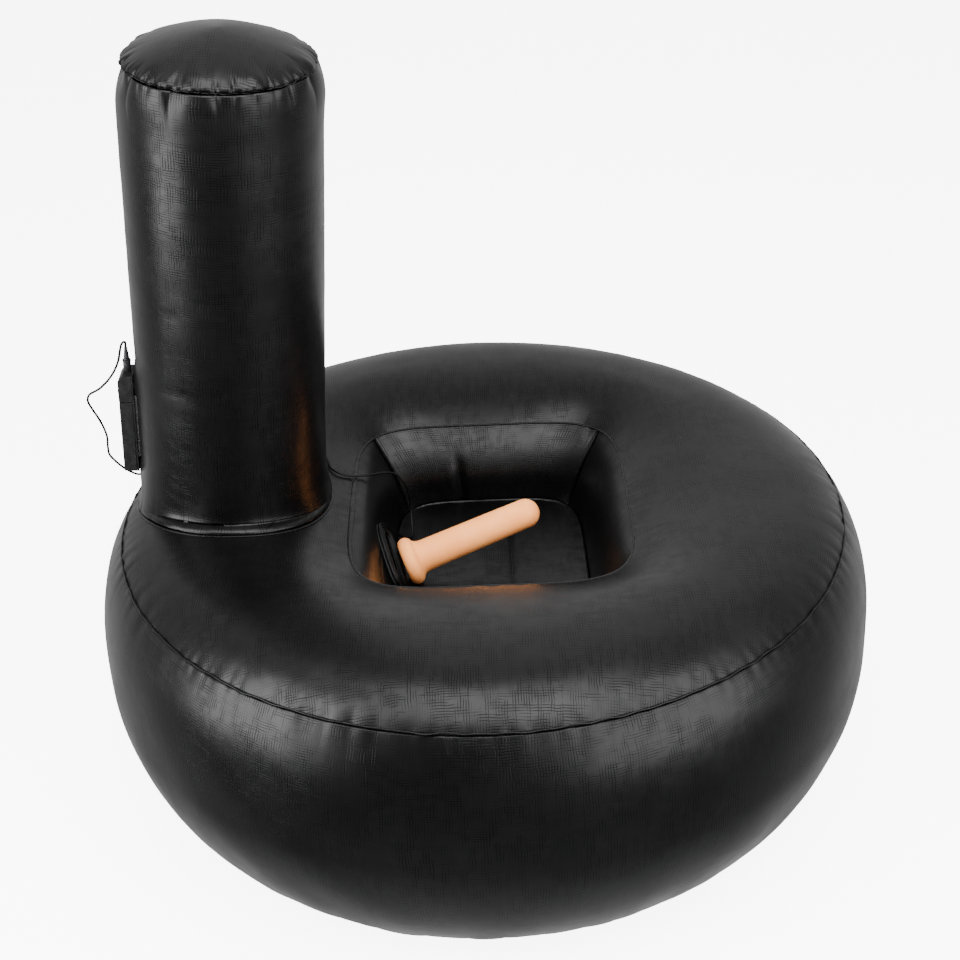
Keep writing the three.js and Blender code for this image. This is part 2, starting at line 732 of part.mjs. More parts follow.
const caseFoot = coverHeight + gap;
const buttonXs = [-buttonSpacing / 2, buttonSpacing / 2];
function boxFront() {
  const outer = acrossBox([[caseLow, caseFoot], [faceOut, caseFoot], [faceOut, boxHeight],
    [shoulderOut, boxTop], [caseLow, boxTop]], halfWidth);
  const inner = acrossBox([[caseLow - boxWall, caseFoot - boxWall], [faceIn, caseFoot - boxWall],
    [faceIn, boxHeight - boxWall / 2], [shoulderOut - boxWall / 2, boxTop - boxWall],
    [caseLow - boxWall, boxTop - boxWall]], halfWidth - boxWall);
  const bosses = [-1, 1].map((side) => rodOut(screwBossRadius, caseLow,
    shoulderOut - boxWall / 2, side * screwSpread, screwHeight));
  const holeIn = faceIn - boxWall;
  const holeOut = faceOut + boxWall;
  const holes = buttonXs.map((x) => rodOut(buttonRadius + buttonClearance, holeIn, holeOut, x, buttonHeight));
  const light = rodOut(lightRadius + gap, holeIn, holeOut, 0, buttonHeight, 12);
  const socket = rod(socketRadius + gap, boxTop - 2 * boxWall, boxTop + boxWall).translate(0, socketY, 0);
  const pilots = [-1, 1].map((side) => rodOut(screwShankRadius + gap, 0, backLow + screwShankLength + gap,
    side * screwSpread, screwHeight));
  return cut(joined(cut(outer, inner), ...bosses), ...holes, light, socket, ...pilots);
}
add('box_front', boxFront(), plasticColor, plasticRoughness, 0, boxGroup);

function batteryCover() {
  const outer = block([-halfWidth, caseLow, 0], [halfWidth, faceOut, coverHeight]);
  const inner = block([boxWall - halfWidth, caseLow - boxWall, boxWall],
    [halfWidth - boxWall, faceIn, coverHeight + boxWall]);
  return cut(outer, inner);
}
add('battery_cover', batteryCover(), plasticColor, plasticRoughness, 0, boxGroup);

// Cells and their contacts
const cellMiddle = (cellColumns - 1) / 2;
const cellXs = Array.from({ length: cellColumns }, (unused, k) => (k - cellMiddle) * cellPitch);
const cellStep = cellLength + cellNubLength + gap;
cellXs.forEach((x, k) => {
  for (let level = 0; level < cellsInLine; level += 1) {
    const low = cellLow + level * cellStep;
    const top = low + cellLength;
    const cell = turned([[0, low], [cellRadius, low], [cellRadius, top], [cellNubRadius, top],
      [cellNubRadius, top + cellNubLength], [0, top + cellNubLength]], 16);
    const number = k * cellsInLine + level + 1;
    add(`cell_${number}`, cell.translate(x, cellY, 0), 0x8f9296, 0.35, 0.6, boxGroup);
  }
});
const stripHalf = (cellPitch * (cellColumns - 1)) / 2 + stripWidth / 2;
const springTop = stripLow + stripThickness + springHeight;
const springProfile = [[0, stripLow], [springRadius, stripLow], [springTopRadius, springTop], [0, springTop]];
const springs = cellXs.map((x) => turned(springProfile, 10).translate(x, cellY, 0));
const springStrip = block([-stripHalf, cellY - stripWidth / 2, stripLow],
  [stripHalf, cellY + stripWidth / 2, stripLow + stripThickness]);
add('contact_spring_strip', joined(springStrip, ...springs), 0xb8babd, 0.3, 0.9, boxGroup);
add('contact_strip', block([-stripHalf, cellY - stripWidth / 2, upperStripLow],
  [stripHalf, cellY + stripWidth / 2, upperStripLow + stripThickness]), 0xb8babd, 0.3, 0.9, boxGroup);

// Board, switches, buttons and light
add('circuit_board', block([-boardWidth / 2, boardIn, boardLow],
  [boardWidth / 2, boardOut, boardLow + boardHeight]), 0x1d5a37, 0.5, 0, boxGroup);
const switchTop = boardOut + gap + switchHeight;
const stemEnd = switchTop + gap + buttonTravel;
const flangeRadius = buttonRadius + buttonFlange;
const buttonFace = faceOut + buttonProud;
['power', 'mode'].forEach((name, k) => {
  const x = buttonXs[k];
  add(`${name}_switch`, block([x - switchSide / 2, boardOut + gap, buttonHeight - switchSide / 2],
    [x + switchSide / 2, switchTop, buttonHeight + switchSide / 2]), 0x2a2a2c, 0.5, 0, boxGroup);
  const flangeOut = faceIn - gap;
  const flangeIn = flangeOut - buttonFlangeThickness;
  const button = turned([[0, stemEnd], [buttonStemRadius, stemEnd], [buttonStemRadius, flangeIn],
    [flangeRadius, flangeIn], [flangeRadius, flangeOut], [buttonRadius, flangeOut],
    [buttonRadius, buttonFace - buttonProud / 2], [buttonRadius - buttonProud / 2, buttonFace],
    [0, buttonFace]], 14);
  add(`${name}_button`, button.rotateX(-quarter).translate(x, 0, buttonHeight), 0x2b2b2e, 0.6, 0, boxGroup);
});
add('light_guide', rodOut(lightRadius, boardOut + gap, faceOut + lightProud, 0, buttonHeight, 12),
  0xd8e6f0, 0.15, 0, boxGroup);

// Screws from behind into the front case
[-1, 1].forEach((side, k) => {
  const low = backLow + gap;
  const screw = turned([[0, low], [screwHeadRadius, low], [screwHeadRadius, low + screwHeadThickness - gap],
    [screwShankRadius, low + screwHeadThickness - gap], [screwShankRadius, backLow + screwShankLength],
    [0, backLow + screwShankLength]], 14);
  add(`case_screw_${k + 1}`, screw.rotateX(-quarter).translate(side * screwSpread, 0, screwHeight),
    0x9a9ca0, 0.3, 0.9, boxGroup);
});

// Jack socket and plug
const socketTop = boxTop + gap;
const socketLow = socketTop - socketLength;
const socketEnd = socketTop - pinDepth - gap;
const socket = turned([[0, socketLow], [socketRadius, socketLow], [socketRadius, socketTop],
  [socketBore, socketTop], [socketBore, socketEnd], [0, socketEnd]]);
add('jack_socket', socket.translate(0, socketY, 0), 0x1a1a1c, 0.4, 0, boxGroup);
const plugLow = socketTop + gap;
const plugTop = plugLow + plugLength;
add('jack_pin', rod(pinRadius, socketTop - pinDepth, plugLow + pinInBody).translate(0, socketY, 0),
  0xc9cacc, 0.2, 1, boxGroup);
const plug = turned([[pinRadius + gap, plugLow], [plugRadius, plugLow],
  [plugRadius, plugTop - plugCollarLength], [plugCollarRadius, plugTop - plugCollarLength],
  [plugCollarRadius, plugTop], [0, plugTop], [0, plugLow + pinInBody + gap],
  [pinRadius + gap, plugLow + pinInBody + gap], [pinRadius + gap, plugLow]]);
add('jack_plug', plug.translate(0, socketY, 0), 0x131315, 0.4, 0, boxGroup);
const reliefLow = plugTop + gap;
const reliefTop = reliefLow + reliefLength;
const relief = turned([[0, reliefLow], [reliefRadius, reliefLow], [reliefTipRadius, reliefTop],
  [0, reliefTop]], 16);
add('plug_strain_relief', relief.translate(0, socketY, 0), 0x121214, 0.5, 0, boxGroup);

// Massager: local z runs to the tip, x along the hinge line and gland, the middle line is above the hinge
const axisLift = footRadius - footEdge;
const tilt = THREE.MathUtils.degToRad(massagerTilt);
const turnSide = THREE.MathUtils.degToRad(massagerTurn);
const tipWay = new THREE.Vector3(0, -Math.cos(tilt), Math.sin(tilt)).applyAxisAngle(up, turnSide);
const hingeWay = new THREE.Vector3(Math.cos(turnSide), Math.sin(turnSide), 0);
const upWay = new THREE.Vector3().crossVectors(tipWay, hingeWay);
const hingePoint = new THREE.Vector3(massagerX, wellY + wellFloorHalfY - heelClearance,
  wellFloorHeight + gap + footEdge);
const massager = new THREE.Group();
massager.quaternion.setFromRotationMatrix(new THREE.Matrix4().makeBasis(hingeWay, upWay, tipWay));
massager.position.copy(hingePoint);
root.add(massager);
massager.updateMatrixWorld(true);

// A quarter or half circle of profile points about [radius, height], from one angle to another.
function arc(radius, height, size, from, to, steps) {
  return Array.from({ length: steps + 1 }, (unused, k) => {
    const angle = from + ((to - from) * k) / steps;
    return [radius + size * Math.cos(angle), height + size * Math.sin(angle)];
  });
}

const boreTop = sleeveBoreDepth - footEdge;
const heelReach = Math.sqrt(footRadius ** 2 - axisLift ** 2);
const glandLow = heelReach - glandInside;
const tipHeight = massagerLength - footEdge - shaftTipRadius;
function sleeve() {
  const profile = [[sleeveBore, -footEdge], ...arc(axisLift, 0, footEdge, -quarter, quarter, 8),
    [shaftRadius, footEdge + gap], ...arc(0, tipHeight, shaftTipRadius, 0, quarter, 6).slice(0, -1),
    [0, tipHeight + shaftTipRadius], [0, boreTop], [sleeveBore, boreTop], [sleeveBore, -footEdge]];
  const glandHole = rod(glandRadius + gap, glandLow - gap, footRadius);
  return cut(turned(profile, 24).translate(0, axisLift, 0), glandHole.rotateY(quarter));
}
add('massager_sleeve', sleeve(), 0xe2b48c, 0.45, 0, massager);
const capTop = footCapThickness - footEdge;
add('foot_cap', rod(sleeveBore - capsuleClearance, -footEdge, capTop, 20).translate(0, axisLift, 0),
  0xd9a97f, 0.5, 0, massager);

const capsuleRadius = sleeveBore - capsuleClearance;
const capsuleLow = capTop + gap;
const capsuleSplit = capsuleLow + capsuleRearLength;
const motorLow = capsuleLow + capsuleWall + gap;
const rear = turned([[0, capsuleLow], [capsuleRadius, capsuleLow], [capsuleRadius, capsuleSplit],
  [motorRadius + gap, capsuleSplit], [motorRadius + gap, capsuleLow + capsuleWall],
  [0, capsuleLow + capsuleWall]]);
add('capsule_rear', rear.translate(0, axisLift, 0), 0xe8e8ea, 0.4, 0, massager);
const frontLow = capsuleSplit + gap;
const frontTop = frontLow + capsuleFrontLength;
const front = turned([[capsuleRadius - capsuleWall, frontLow], [capsuleRadius, frontLow],
  [capsuleRadius, frontTop - capsuleWall], [capsuleRadius - capsuleWall, frontTop], [0, frontTop],
  [0, frontTop - capsuleWall], [capsuleRadius - capsuleWall, frontTop - capsuleWall],
  [capsuleRadius - capsuleWall, frontLow]]);
add('capsule_front', front.translate(0, axisLift, 0), 0xe8e8ea, 0.4, 0, massager);

const motorTop = motorLow + motorLength;
const motorBore = motorShaftRadius + shaftClearance;
const shaftLow = motorTop - motorShaftLength / 4;
const motor = turned([[0, motorLow], [motorRadius, motorLow], [motorRadius, motorTop], [motorBore, motorTop],
  [motorBore, shaftLow - gap], [0, shaftLow - gap]]);
add('motor_can', motor.translate(0, axisLift, 0), 0xa9abae, 0.3, 0.9, massager);
const motorShaft = rod(motorShaftRadius, shaftLow, shaftLow + motorShaftLength, 12);
add('motor_shaft', motorShaft.translate(0, axisLift, 0), 0xc4c6c8, 0.2, 1, massager);
const weightLow = motorTop + gap + capsuleWall;
const weightShape = new THREE.Shape();
weightShape.absarc(0, 0, weightRadius, 0, Math.PI, false);
weightShape.lineTo(-motorBore * 2, -motorBore * 2);
weightShape.lineTo(motorBore * 2, -motorBore * 2);
weightShape.closePath();
const weightBody = new THREE.ExtrudeGeometry(weightShape,
  { depth: weightLength, bevelEnabled: false, curveSegments: 12 }).translate(0, 0, weightLow);
const weightTop = weightLow + weightLength;
const weight = cut(weightBody, rod(motorBore, weightLow - capsuleWall, weightTop + capsuleWall, 12));
add('eccentric_weight', weight.translate(0, axisLift, 0), 0x6c6e72, 0.4, 0.8, massager);

const glandTop = glandLow + glandLength;
const glandShoulder = heelReach + capsuleWall;
const gland = turned([[0, glandLow], [glandRadius, glandLow], [glandRadius, glandShoulder],
  [reliefTipRadius, glandTop], [0, glandTop]], 14);
add('lead_gland', gland.rotateY(quarter), 0x141416, 0.5, 0, massager);

// A smooth line given by a function of its share of length.
class Route extends THREE.Curve {
  constructor(pointAt) {
    super();
    this.pointAt = pointAt;
  }

  getPoint(share, target = new THREE.Vector3()) {
    return target.copy(this.pointAt(share));
  }
}

// An unbroken tube of flat sides along a route, with an even step.
function tube(route, radius, sides, steps) {
  const section = new THREE.Shape(Array.from({ length: sides }, (unused, k) => {
    const angle = (k / sides) * 2 * Math.PI;
    return new THREE.Vector2(radius * Math.cos(angle), radius * Math.sin(angle));
  }));
  const options = { steps, curveSegments: 1, bevelEnabled: false, extrudePath: route };
  return new THREE.ExtrudeGeometry(section, options);
}

// Hank: its long way runs up the rear wall and away from the viewer's side, its short way down the wall
const wallWay = new THREE.Vector3(0, wellHalfY - wellFloorHalfY, rimHeight - wellFloorHeight).normalize();
const wallOut = new THREE.Vector3(0, wallWay.z, -wallWay.y);
const hankSlope = THREE.MathUtils.degToRad(hankRise);
const hankLong = new THREE.Vector3(Math.cos(hankSlope), 0, 0).addScaledVector(wallWay, Math.sin(hankSlope));
const hankShort = new THREE.Vector3().crossVectors(wallOut, hankLong);
const hankReach = (hankLength - hankWidth) / 2;
const hankRadius = hankWidth / 2 + hankTailShare * hankPitch;
const hankDrop = hankReach * Math.abs(hankLong.z) + hankRadius * Math.hypot(hankLong.z, hankShort.z);
const hankHeight = wellFloorHeight + gap + cordRadius + hankDrop;
const hankWallShare = (hankHeight - wellFloorHeight) / (rimHeight - wellFloorHeight);
const hankWallY = wellY + wellFloorHalfY + hankWallShare * (wellHalfY - wellFloorHalfY)
  - wellWallBulge * Math.sin(Math.PI * hankWallShare);
const hankY = hankWallY - hankLayer - hankWallClearance;
const hankMiddle = new THREE.Vector3(wellX - hankOffset, hankY, hankHeight);

// A point of the hank after a number of turns: it winds in by one pitch a turn, climbs to the second layer
// in the half turn where it reverses, and winds out again. Round ends are joined by nearly straight sides.
function hankPoint(turn) {
  const inward = turn < hankTurns ? turn : 2 * hankTurns - turn;
  const radius = hankWidth / 2 - inward * hankPitch;
  const angle = turn * 2 * Math.PI;
  const climb = Math.min(1, Math.max(-1, (turn - hankTurns) * 2));
  const along = Math.cos(angle) * radius + Math.tanh(hankSquareness * Math.cos(angle)) * hankReach;
  return hankMiddle.clone()
    .addScaledVector(hankLong, along)
    .addScaledVector(hankShort, -Math.sin(angle) * radius)
    .addScaledVector(wallOut, (climb * hankLayer) / 2);
}
const hankAllTurns = 2 * hankTurns + hankTailShare;
const hankRoute = new Route((share) => hankPoint(share * hankAllTurns));
hankRoute.arcLengthDivisions = hankLoopSteps * 40;
const hankSteps = Math.round(hankLoopSteps * hankAllTurns);
add('lead_hank', tube(hankRoute, cordRadius, hankSides, hankSteps), 0x0e0e10, 0.45);

// Lead from the plug: round beside the box, down behind the column, over the rim and into the well
const leadStart = new THREE.Vector3(0, socketY, reliefTop + gap).applyMatrix4(boxGroup.matrixWorld);
const leadLoopPoints = [
  [14.8, 388.8, 543.6], [15.6, 392.4, 541.6], [16.6, 395.6, 534], [18.5, 401, 517], [22, 412, 498],
  [26, 428, 481], [30, 442.5, 471], [33, 446, 462], [37, 444, 450], [42, 438, 430], [48, 435, 407],
  [52, 437, 391], [57, 438, 377], [62, 433.5, 365], [66, 428, 355], [70, 421, 346], [77, 413, 337],
];
const leadRunPoints = [
  [87, 402, 333], [97, 392, 336], [106, 384, 339.8], [118, 370, 345.3], [131, 355, 349.5], [142, 338, 352.6],
  [150, 318, 354.8], [155, 297, 355.5], [156, 276, 355.5], [153, 255, 354.5], [146, 236, 352.2],
  [135, 218, 348.3], [122, 203, 343.6], [107, 191, 338.8], [92, 184, 335.2], [79, 179.5, 332.9],
  [73, 169, 329.2], [76, 157, 323.6], [82, 144, 320], [89, 132, 316.5], [102, 117, 311], [110, 105, 303.5],
  [113, 96, 290], [115, 90, 270], [111, 89, 250], [100, 88, 236], [87, 88, 229], [73, 91, 232],
  [58.4, 98.6, 244.5], [43, 107.5, 263],
];
const point3 = (values) => new THREE.Vector3(...values);
const hankIn = hankPoint(0);
const hankInWay = hankRoute.getTangentAt(0);
const straight = 2 * cordRadius;
const leadPoints = [
  leadStart,
  leadStart.clone().addScaledVector(columnAxis, straight),
  ...leadLoopPoints.map(point3),
  ...leadRunPoints.map(point3),
  hankIn.clone().addScaledVector(hankInWay, -gap - straight),
  hankIn.clone().addScaledVector(hankInWay, -gap),
];
const leadCurve = new THREE.CatmullRomCurve3(leadPoints, false, 'centripetal');
leadCurve.arcLengthDivisions = 40 * leadPoints.length;
const leadLength = leadCurve.getLength();
const splitPoint = point3(leadLoopPoints.at(-1));
let splitShare = 0;
for (let step = 0; step <= leadCurve.arcLengthDivisions; step += 1) {
  const share = step / leadCurve.arcLengthDivisions;
  if (leadCurve.getPointAt(share).distanceTo(splitPoint)
    < leadCurve.getPointAt(splitShare).distanceTo(splitPoint)) splitShare = share;
}
const runStart = splitShare + gap / leadLength;
const boxLoopRoute = new Route((share) => leadCurve.getPointAt(share * splitShare));
add('lead_box_loop', tube(boxLoopRoute, cordRadius, cordSides, boxLoopSteps), 0x0e0e10, 0.45);
const runRoute = new Route((share) => leadCurve.getPointAt(runStart + share * (1 - runStart)));
add('lead_run', tube(runRoute, cordRadius, cordSides, runSteps), 0x0e0e10, 0.45);

// Tail of the lead: along the floor behind the massager's foot and round into its gland
const leadTailPoints = [
  [-10, 94.2, 226.9], [10, 95.5, 226.9], [27, 97.6, 226.9], [41, 100, 227.2], [51, 101.2, 228.3],
  [57.5, 99, 230.8], [56, 95.6, 233.2], [47, 93.4, 234.3], [36, 90.7, 234.3],
];
const hankOut = hankPoint(hankAllTurns);
const hankOutWay = hankRoute.getTangentAt(1);
const glandEnd = new THREE.Vector3(glandTop + gap, 0, 0).applyMatrix4(massager.matrixWorld);
const tailCurve = new THREE.CatmullRomCurve3([
  hankOut.clone().addScaledVector(hankOutWay, gap),
  hankOut.clone().addScaledVector(hankOutWay, gap + straight),
  ...leadTailPoints.map(point3),
  glandEnd.clone().addScaledVector(hingeWay, straight),
  glandEnd,
], false, 'centripetal');
add('lead_tail', tube(tailCurve, cordRadius, cordSides, tailSteps), 0x0e0e10, 0.45);

// Least gap of the hank to itself, between points at least half a loop apart
const hankSamples = hankRoute.getSpacedPoints(hankSteps * 2);
let leastDistance = Infinity;
hankSamples.forEach((point, i) => hankSamples.slice(i + hankLoopSteps).forEach((other) => {
  leastDistance = Math.min(leastDistance, point.distanceTo(other));
}));
console.log('hank: least gap to itself in mm', leastDistance - 2 * cordRadius);
console.log('lengths of hank, lead before it and tail in mm', hankRoute.getLength(), leadLength,
  tailCurve.getLength());

export default root;
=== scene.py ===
import math

import bmesh
import bpy
import numpy as np
from mathutils import Matrix, Vector


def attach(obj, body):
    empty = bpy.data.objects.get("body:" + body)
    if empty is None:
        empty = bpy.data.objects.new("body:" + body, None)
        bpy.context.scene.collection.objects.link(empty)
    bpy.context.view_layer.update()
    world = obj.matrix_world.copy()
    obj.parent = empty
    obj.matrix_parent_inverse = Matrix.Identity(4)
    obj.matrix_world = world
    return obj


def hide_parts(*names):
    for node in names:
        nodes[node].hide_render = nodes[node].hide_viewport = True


# Looks of a round inflatable seat with a sunken well, a leaning column, a battery box and a plain massager.
# Metres, +Z up. The column stands towards +Y, and the photograph is taken from -X.

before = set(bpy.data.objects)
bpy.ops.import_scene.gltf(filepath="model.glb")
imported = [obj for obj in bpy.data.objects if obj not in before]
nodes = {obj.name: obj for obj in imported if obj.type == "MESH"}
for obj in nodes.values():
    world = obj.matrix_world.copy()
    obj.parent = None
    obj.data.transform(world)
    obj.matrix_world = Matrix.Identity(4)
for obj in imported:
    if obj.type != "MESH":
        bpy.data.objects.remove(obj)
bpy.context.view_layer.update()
TURN = 2 * math.pi
QUARTER = math.pi / 2
SEAT = "seat"

# Ring
RING_RADIUS = 0.450
RING_HEIGHT = 0.353
BULGE_HEIGHT = 0.173
BASE_RADIUS = 0.346
CREST_RADIUS = 0.324
SEAM_RADIUS = 0.415
UPPER_FULLNESS = 2.788
LOWER_FULLNESS = 1.782

# Well
RIM_HEIGHT = 0.319
WELL_MIDDLE = np.array([0.019, -0.009])
WELL_HALF = np.array([0.182, 0.164])
FLOOR_HALF = np.array([0.150, 0.117])
WELL_SQUARENESS = 4.8
FLOOR_HEIGHT = 0.225
WALL_BULGE = 0.010
WEB_Y = -0.034

# Film
FILM = 0.0006
GAP = 0.0003
SAME_PLACE = 1e-6

# Column
COLUMN_FOOT = np.array([0.024, 0.289, 0.339])
COLUMN_LENGTH = 0.522
COLUMN_LEAN = np.array([-0.024, -0.043, 0.522])
COLUMN_RADIUS = 0.1045
COLUMN_FLARE = 0.009
FLARE_LENGTH = 0.026
COLUMN_TOP_RADIUS = 0.098
COLUMN_SHOULDER = 0.035
BASE_LIFT = 0.0030
CAP_HEIGHT = 0.032
CAP_FULLNESS = 1.5
SEAM_PINCH = 0.0008

# Box and plug, in the box's own directions
BOX_ALONG = 0.0335
PATCH_LOW = 0.019
PATCH_TOP = 0.099
COVER_TOP = 0.0922
PLUG_Y = 0.00985
PLUG_LOW = 0.1266
PLUG_LENGTH = 0.0135
RELIEF_LENGTH = 0.015
CORD_RADIUS = 0.0012
SHEATH_RADIUS = 0.0014

# Massager
HINGE = np.array([-0.0078, 0.0806, 0.2343])
TIP_WAY = np.array([0.2156598, -0.9363618, 0.2769793])
HINGE_WAY = np.array([0.9744877, 0.2244408, 0.0])
FOOT_RADIUS = 0.029
FOOT_EDGE = 0.009
SHAFT_RADIUS = 0.019
SHAFT_TIP_RADIUS = 0.0175
MASSAGER_LENGTH = 0.173
SHAFT_START = 0.022
SLEEVE_BORE = 0.0123
BORE_TOP = 0.062
AXIS_LIFT = FOOT_RADIUS - FOOT_EDGE
GLAND_DEPTH = 0.006
GLAND_LENGTH = 0.015
GLAND_START = math.sqrt(FOOT_RADIUS ** 2 - AXIS_LIFT ** 2) - GLAND_DEPTH


def unit(v):
    """Directions of length one."""
    return v / np.linalg.norm(v, axis=-1, keepdims=True)


def round_angles(count):
    """Even angles round a circle, the first at nought."""
    return np.arange(count) / count * TURN


def paired(first, second):
    """Two arrays, spread to one shape, as the two values of each point."""
    return np.stack(np.broadcast_arrays(first, second), -1)


def polar(radius, angle, height):
    """Points at a distance from the Z axis, an angle round it and a height."""
    return np.stack(np.broadcast_arrays(radius * np.cos(angle), radius * np.sin(angle), height), -1)


def crowded(count, amount):
    """Shares from nought to one, closer together at both ends: even steps blended with a smoothstep."""
    share = np.linspace(0, 1, count)
    return (share + amount * (3 * share ** 2 - 2 * share ** 3)) / (1 + amount)


def curve(start, corner, end, steps):
    """A quadratic curve from start to end that leaves and arrives towards the corner."""
    t = np.linspace(0, 1, steps)[:, None]
    return (1 - t) ** 2 * start + 2 * t * (1 - t) * corner + t ** 2 * end


def linked(name, data):
    """An object of the scene, at the origin, with the given data."""
    obj = bpy.data.objects.new(name, data)
    bpy.context.scene.collection.objects.link(obj)
    return obj


def turn_from_up(axis):
    """Least rotation that takes +Z to axis: the identity, plus the cross matrix, plus its square over one
    more than the cosine."""
    x, y, z = axis
    cross = np.array([[0, 0, x], [0, 0, y], [-x, -y, 0]])
    return np.eye(3) + cross + cross @ cross / (1 + z)


AXIS = unit(COLUMN_LEAN)
COLUMN_TURN = turn_from_up(AXIS)


# Camera, solved from the photograph: angles in radians, and the distance and the aim's height in ring radii
CAMERA_ELEVATION = 0.539
CAMERA_ROLL = -0.038
CAMERA_DISTANCE = 4.2
AIM_SIDE = 0.0009
AIM_HEIGHT = 0.792
SENSOR_WIDTH = 36
PHOTO_PIXELS = 960
RING_RADIUS_PIXELS = 387.82


def aim_camera():
    """A camera that looks along +X and downwards, turned about its own view by the roll."""
    up = np.array([math.sin(CAMERA_ELEVATION), 0, math.cos(CAMERA_ELEVATION)])
    right = np.array([0.0, -1.0, 0.0])
    forward = np.array([math.cos(CAMERA_ELEVATION), 0, -math.sin(CAMERA_ELEVATION)])
    aim = np.array([0.0, AIM_SIDE, AIM_HEIGHT * RING_RADIUS])
    place = aim - forward * CAMERA_DISTANCE * RING_RADIUS
    c, s = math.cos(CAMERA_ROLL), math.sin(CAMERA_ROLL)
    matrix = np.eye(4)
    matrix[:3] = np.column_stack([c * right + s * up, c * up - s * right, -forward, place])
    data = bpy.data.cameras.new("camera")
    data.sensor_width = SENSOR_WIDTH
    data.lens = RING_RADIUS_PIXELS * CAMERA_DISTANCE / PHOTO_PIXELS * SENSOR_WIDTH
    camera = linked("camera", data)
    camera.matrix_world = Matrix(matrix.tolist())
    bpy.context.scene.camera = camera


aim_camera()


# Meshes
def mesh_object(name, points, faces, uv=None):
    """An object at the origin from points (n, 3), quads or triangles (m, k) and one uv for each corner."""
    mesh = bpy.data.meshes.new(name)
    faces = np.asarray(faces, np.int32)
    count, corners = faces.shape
    mesh.vertices.add(len(points))
    mesh.vertices.foreach_set("co", np.asarray(points, np.float32).ravel())
    mesh.loops.add(count * corners)
    mesh.loops.foreach_set("vertex_index", faces.ravel())
    mesh.polygons.add(count)
    mesh.polygons.foreach_set("loop_start", np.arange(0, count * corners, corners, dtype=np.int32))
    mesh.polygons.foreach_set("loop_total", np.full(count, corners, np.int32))
    mesh.polygons.foreach_set("use_smooth", np.full(count, True, bool))
    if uv is not None:
        layer = mesh.uv_layers.new(name="film")
        layer.data.foreach_set("uv", np.asarray(uv, np.float32).ravel())
    mesh.update(calc_edges=True)
    mesh.validate()
    return linked(name, mesh)


def grid_faces(rows, columns, wrap):
    """Quads over a grid of rows by columns, joined back to the first column where it wraps."""
    i, j = np.meshgrid(np.arange(rows - 1), np.arange(columns if wrap else columns - 1), indexing="ij")
    k = (j + 1) % columns
    quads = np.stack([i * columns + j, i * columns + k, (i + 1) * columns + k, (i + 1) * columns + j], -1)
    return quads.reshape(-1, 4), i, j


def grid_object(name, grid, uv, wrap=True, flip=False, pole=None):
    """A surface through grid[row, column], with uv given for one more column where it wraps.
    A pole is the row, first or last, whose points are one point."""
    rows, columns = grid.shape[:2]
    quads, i, j = grid_faces(rows, columns, wrap)
    corner_uv = np.stack([uv[i, j], uv[i, j + 1], uv[i + 1, j + 1], uv[i + 1, j]], 2).reshape(-1, 4, 2)
    if flip:
        quads, corner_uv = quads[:, ::-1], corner_uv[:, ::-1]
    obj = mesh_object(name, grid.reshape(-1, 3), quads, corner_uv)
    if pole is not None:
        merge_doubles(obj)
    return obj


def merge_doubles(obj):
    """Makes one point of the points that share a place."""
    shape = bmesh.new()
    shape.from_mesh(obj.data)
    bmesh.ops.remove_doubles(shape, verts=shape.verts, dist=SAME_PLACE)
    shape.to_mesh(obj.data)
    shape.free()


def across(grid, wrap):
    """Unit normals of a grid: the cross product of its slopes along columns and along rows."""
    if wrap:
        along = np.roll(grid, -1, 1) - np.roll(grid, 1, 1)
    else:
        along = np.gradient(grid, axis=1)
    down = np.gradient(grid, axis=0)
    return unit(np.cross(along, down) + 1e-15)


def lifted(grid, amount, wrap=True, side=1.0):
    """The grid moved along its normals by amount; side says which way is outwards."""
    return grid + side * across(grid, wrap) * amount[..., None]


def path_length(grid):
    """Length along the rows of a grid, from its first row."""
    steps = np.linalg.norm(np.diff(grid, axis=0), axis=-1)
    return np.concatenate([np.zeros((1, grid.shape[1])), np.cumsum(steps, 0)])


def dressed(obj, body, slot, material, *replaced):
    """A piece with its material, its body and the CAD nodes that it stands for, which are hidden; the slot is
    not used.
    """
    obj.data.materials.clear()
    obj.data.materials.append(material)
    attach(obj, body)
    if replaced:
        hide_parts(*replaced)
    return obj


def film_panel(name, grid, uv, replaced, **form):
    """A panel of the black film over a grid: its thickness goes inwards from the grid."""
    obj = grid_object(name, grid, uv, **form)
    wall = obj.modifiers.new("wall", "SOLIDIFY")
    wall.thickness = FILM
    wall.offset = -1.0
    wall.use_even_offset = False
    return dressed(obj, SEAT, "pvc_film", black_film, replaced)


# Folds in film
def creases(count, seed, spread=0.9):
    """Angles of the creases round a closed seam: even steps, each moved by a share of its step."""
    rng = np.random.default_rng(seed)
    return (np.arange(count) + spread * (rng.random(count) - 0.5)) * TURN / count


def pillow(angle, marks, sharpness=0.7):
    """Between two creases the film rises like 4t(1 - t) to a power, nought at each crease and one between;
    t is bent by a power of its own in each span, so that the pillows lean to either side.
    Returns the rise, the width of the span in mean spans and a strength of each span's own."""
    marks = np.sort(marks % TURN)
    edges = np.concatenate([[marks[-1] - TURN], marks, [marks[0] + TURN]])
    place = np.searchsorted(edges, angle % TURN, side="right") - 1
    place = np.clip(place, 0, len(edges) - 2)
    low, high = edges[place], edges[place + 1]
    lean = 0.62 + 1.1 * ((place * 0.618034 + 0.31) % 1.0)
    t = np.clip((angle % TURN - low) / (high - low), 0, 1) ** lean
    strength = 0.55 + 0.9 * ((place * 0.754878 + 0.17) % 1.0)
    return (4 * t * (1 - t)) ** sharpness, (high - low) * len(marks) / TURN, strength


